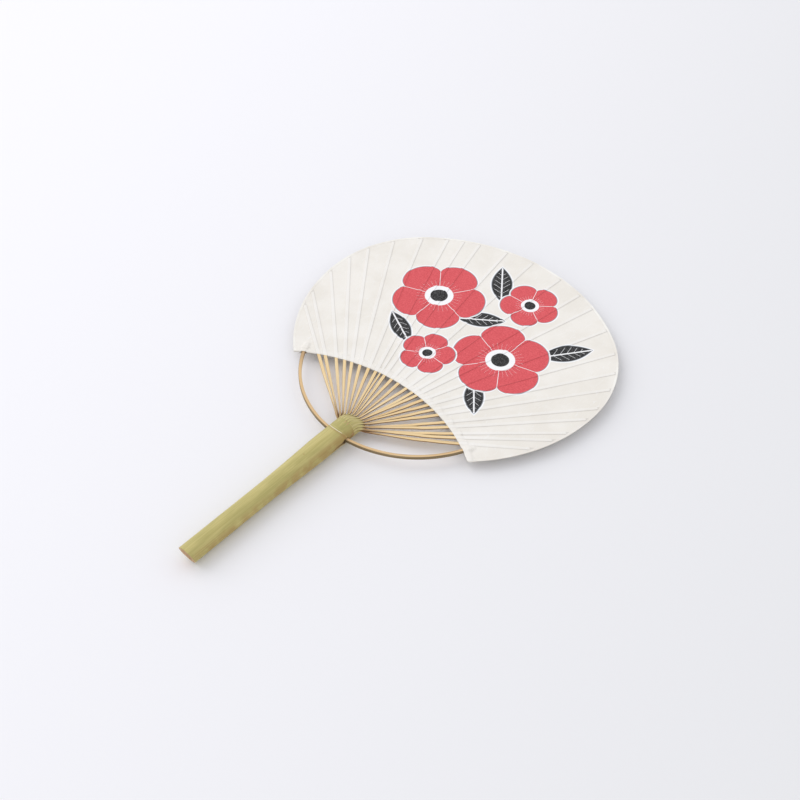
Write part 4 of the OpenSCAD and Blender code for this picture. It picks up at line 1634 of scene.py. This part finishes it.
@dataclass(frozen=True)
class Studio:
    """Camera, soft light and pale floor."""

    camera_at: tuple[float, float, float] = (0.43973, -0.49463, 0.71421)
    camera_way: tuple[float, float, float] = (-0.4449, 0.5186, -0.7302)
    lens: float = 63.0
    sensor_w: float = 36.0
    clip: tuple[float, float] = (0.02, 50.0)
    lamp_target: tuple[float, float, float] = (0.0, 0.03, 0.0)
    key_at: tuple[float, float, float] = (-5.0, -0.8, 4.6)
    key_size: float = 5.8
    key_power: float = 155.0
    key_colour: Colour = (1.0, 0.985, 0.97)
    sky: Colour = (0.97, 0.98, 1.0)
    sky_strength: float = 0.85
    floor_lit_near: Colour = tint(249, 248, 253)
    floor_shaded_far: Colour = tint(231, 231, 233)
    floor_bounce: Colour = (0.88, 0.86, 0.83)
    floor_half: float = 3.0

    def camera(self) -> None:
        """Places the camera at the photograph's angle."""
        data = bpy.data.cameras.new("view")
        data.lens = self.lens
        data.sensor_width = self.sensor_w
        data.clip_start, data.clip_end = self.clip
        camera = bpy.data.objects.new("view", data)
        camera.location = self.camera_at
        camera.rotation_mode = "QUATERNION"
        camera.rotation_quaternion = Vector(self.camera_way).to_track_quat("-Z", "Y")
        bpy.context.scene.collection.objects.link(camera)
        bpy.context.scene.camera = camera

    def lamp(self) -> None:
        """Adds the key lamp, a soft square that looks at the fan."""
        data = bpy.data.lights.new("key", "AREA")
        data.size = self.key_size
        data.energy = self.key_power
        data.color = self.key_colour
        lamp = bpy.data.objects.new("key", data)
        lamp.location = self.key_at
        way = Vector(self.lamp_target) - Vector(self.key_at)
        lamp.rotation_mode = "QUATERNION"
        lamp.rotation_quaternion = way.to_track_quat("-Z", "Y")
        bpy.context.scene.collection.objects.link(lamp)

    def world(self) -> None:
        """Even pale surroundings, a little brighter where they are seen than as light."""
        world = bpy.data.worlds.new("studio")
        world.use_nodes = True
        world.node_tree.nodes.clear()
        w = Wiring(world.node_tree)
        path = w.add("ShaderNodeLightPath").outputs
        seen = w.math("MAXIMUM", path["Is Camera Ray"], w.math(
            "MAXIMUM", path["Is Glossy Ray"], path["Is Transmission Ray"]))
        strength = w.line(seen, self.sky_strength, 1 - self.sky_strength)
        back = w.add("ShaderNodeBackground", {"Color": self.sky, "Strength": strength})
        w.add("ShaderNodeOutputWorld", {"Surface": back.outputs[0]})
        bpy.context.scene.world = world

    def floor(self) -> None:
        """A wide pale floor whose seen colour darkens a little away from the key lamp, as painted
        light falloff.
        """
        size = self.floor_half
        floor = new_piece("floor", np.array([(-size, -size, 0), (size, -size, 0),
                                             (size, size, 0), (-size, size, 0)]), [[0, 1, 2, 3]])
        material, w, shader = new_material("floor_paint")
        at = w.place()
        x, y, _ = w.split(at)
        # Painted light falloff: brighter towards the key lamp
        far = w.step(w.plus(x, w.times(y, 0.4)), -0.5, 0.6)
        grainy = w.times(w.noise(at, 700, 2), 0.02)
        seen = w.mix(w.plus(far, grainy), self.floor_lit_near, self.floor_shaded_far)
        camera = w.add("ShaderNodeLightPath").outputs["Is Camera Ray"]
        w.fill(shader, {"Base Color": w.mix(camera, self.floor_bounce, seen),
                        "Roughness": 0.9, "Specular IOR Level": 0.1})
        floor.data.materials.append(material)

    def build(self) -> None:
        """Sets up everything that isn't the fan."""
        bpy.context.scene.view_settings.view_transform = "Standard"
        self.camera()
        self.world()
        self.floor()
        self.lamp()


def main() -> None:
    """Builds the studio and the fan, piece by piece."""
    logging.basicConfig(level=logging.INFO, format="%(name)s: %(message)s")
    Studio().build()
    skin, cut = BambooSkin().build(), CutBamboo().build()
    flesh = BambooFlesh().build()
    # The bow's outward skin face is dark olive brown, far darker than the ribs' skin: partly its
    # own colour, partly painted shade
    bow_finish = BambooFlesh(name="bamboo_bow", light=tint(236, 208, 166),
                             mid=tint(214, 178, 128), skin=tint(84, 66, 30),
                             skin_reach=1.0, skin_edge=(0.72, 0.82), dark_flank_and_shade=0.1).build()
    Culm().build(skin, cut)
    fan = RibFan()
    fan.build(flesh)
    Bow(tree=fan.tree).build(bow_finish)
    head = Head()
    head.sheet(Face.FRONT, Washi(name="washi_printed", printed=True).build())
    head.sheet(Face.BACK, Washi().build())
    head.binding(Washi(name="washi_strip", cream=tint(249, 247, 242)).build())
    willow = CutBamboo("willow_end", tint(196, 158, 118), tint(132, 96, 62)).build()
    for name, material in (("handle_plug", willow), ("weaving_thread", TwistedCotton().build())):
        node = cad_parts[name]
        node.data.materials.clear()
        node.data.materials.append(material)
        LOG.info("%s: kept as it is, with a new finish", name)


if __name__ == "__main__":
    main()
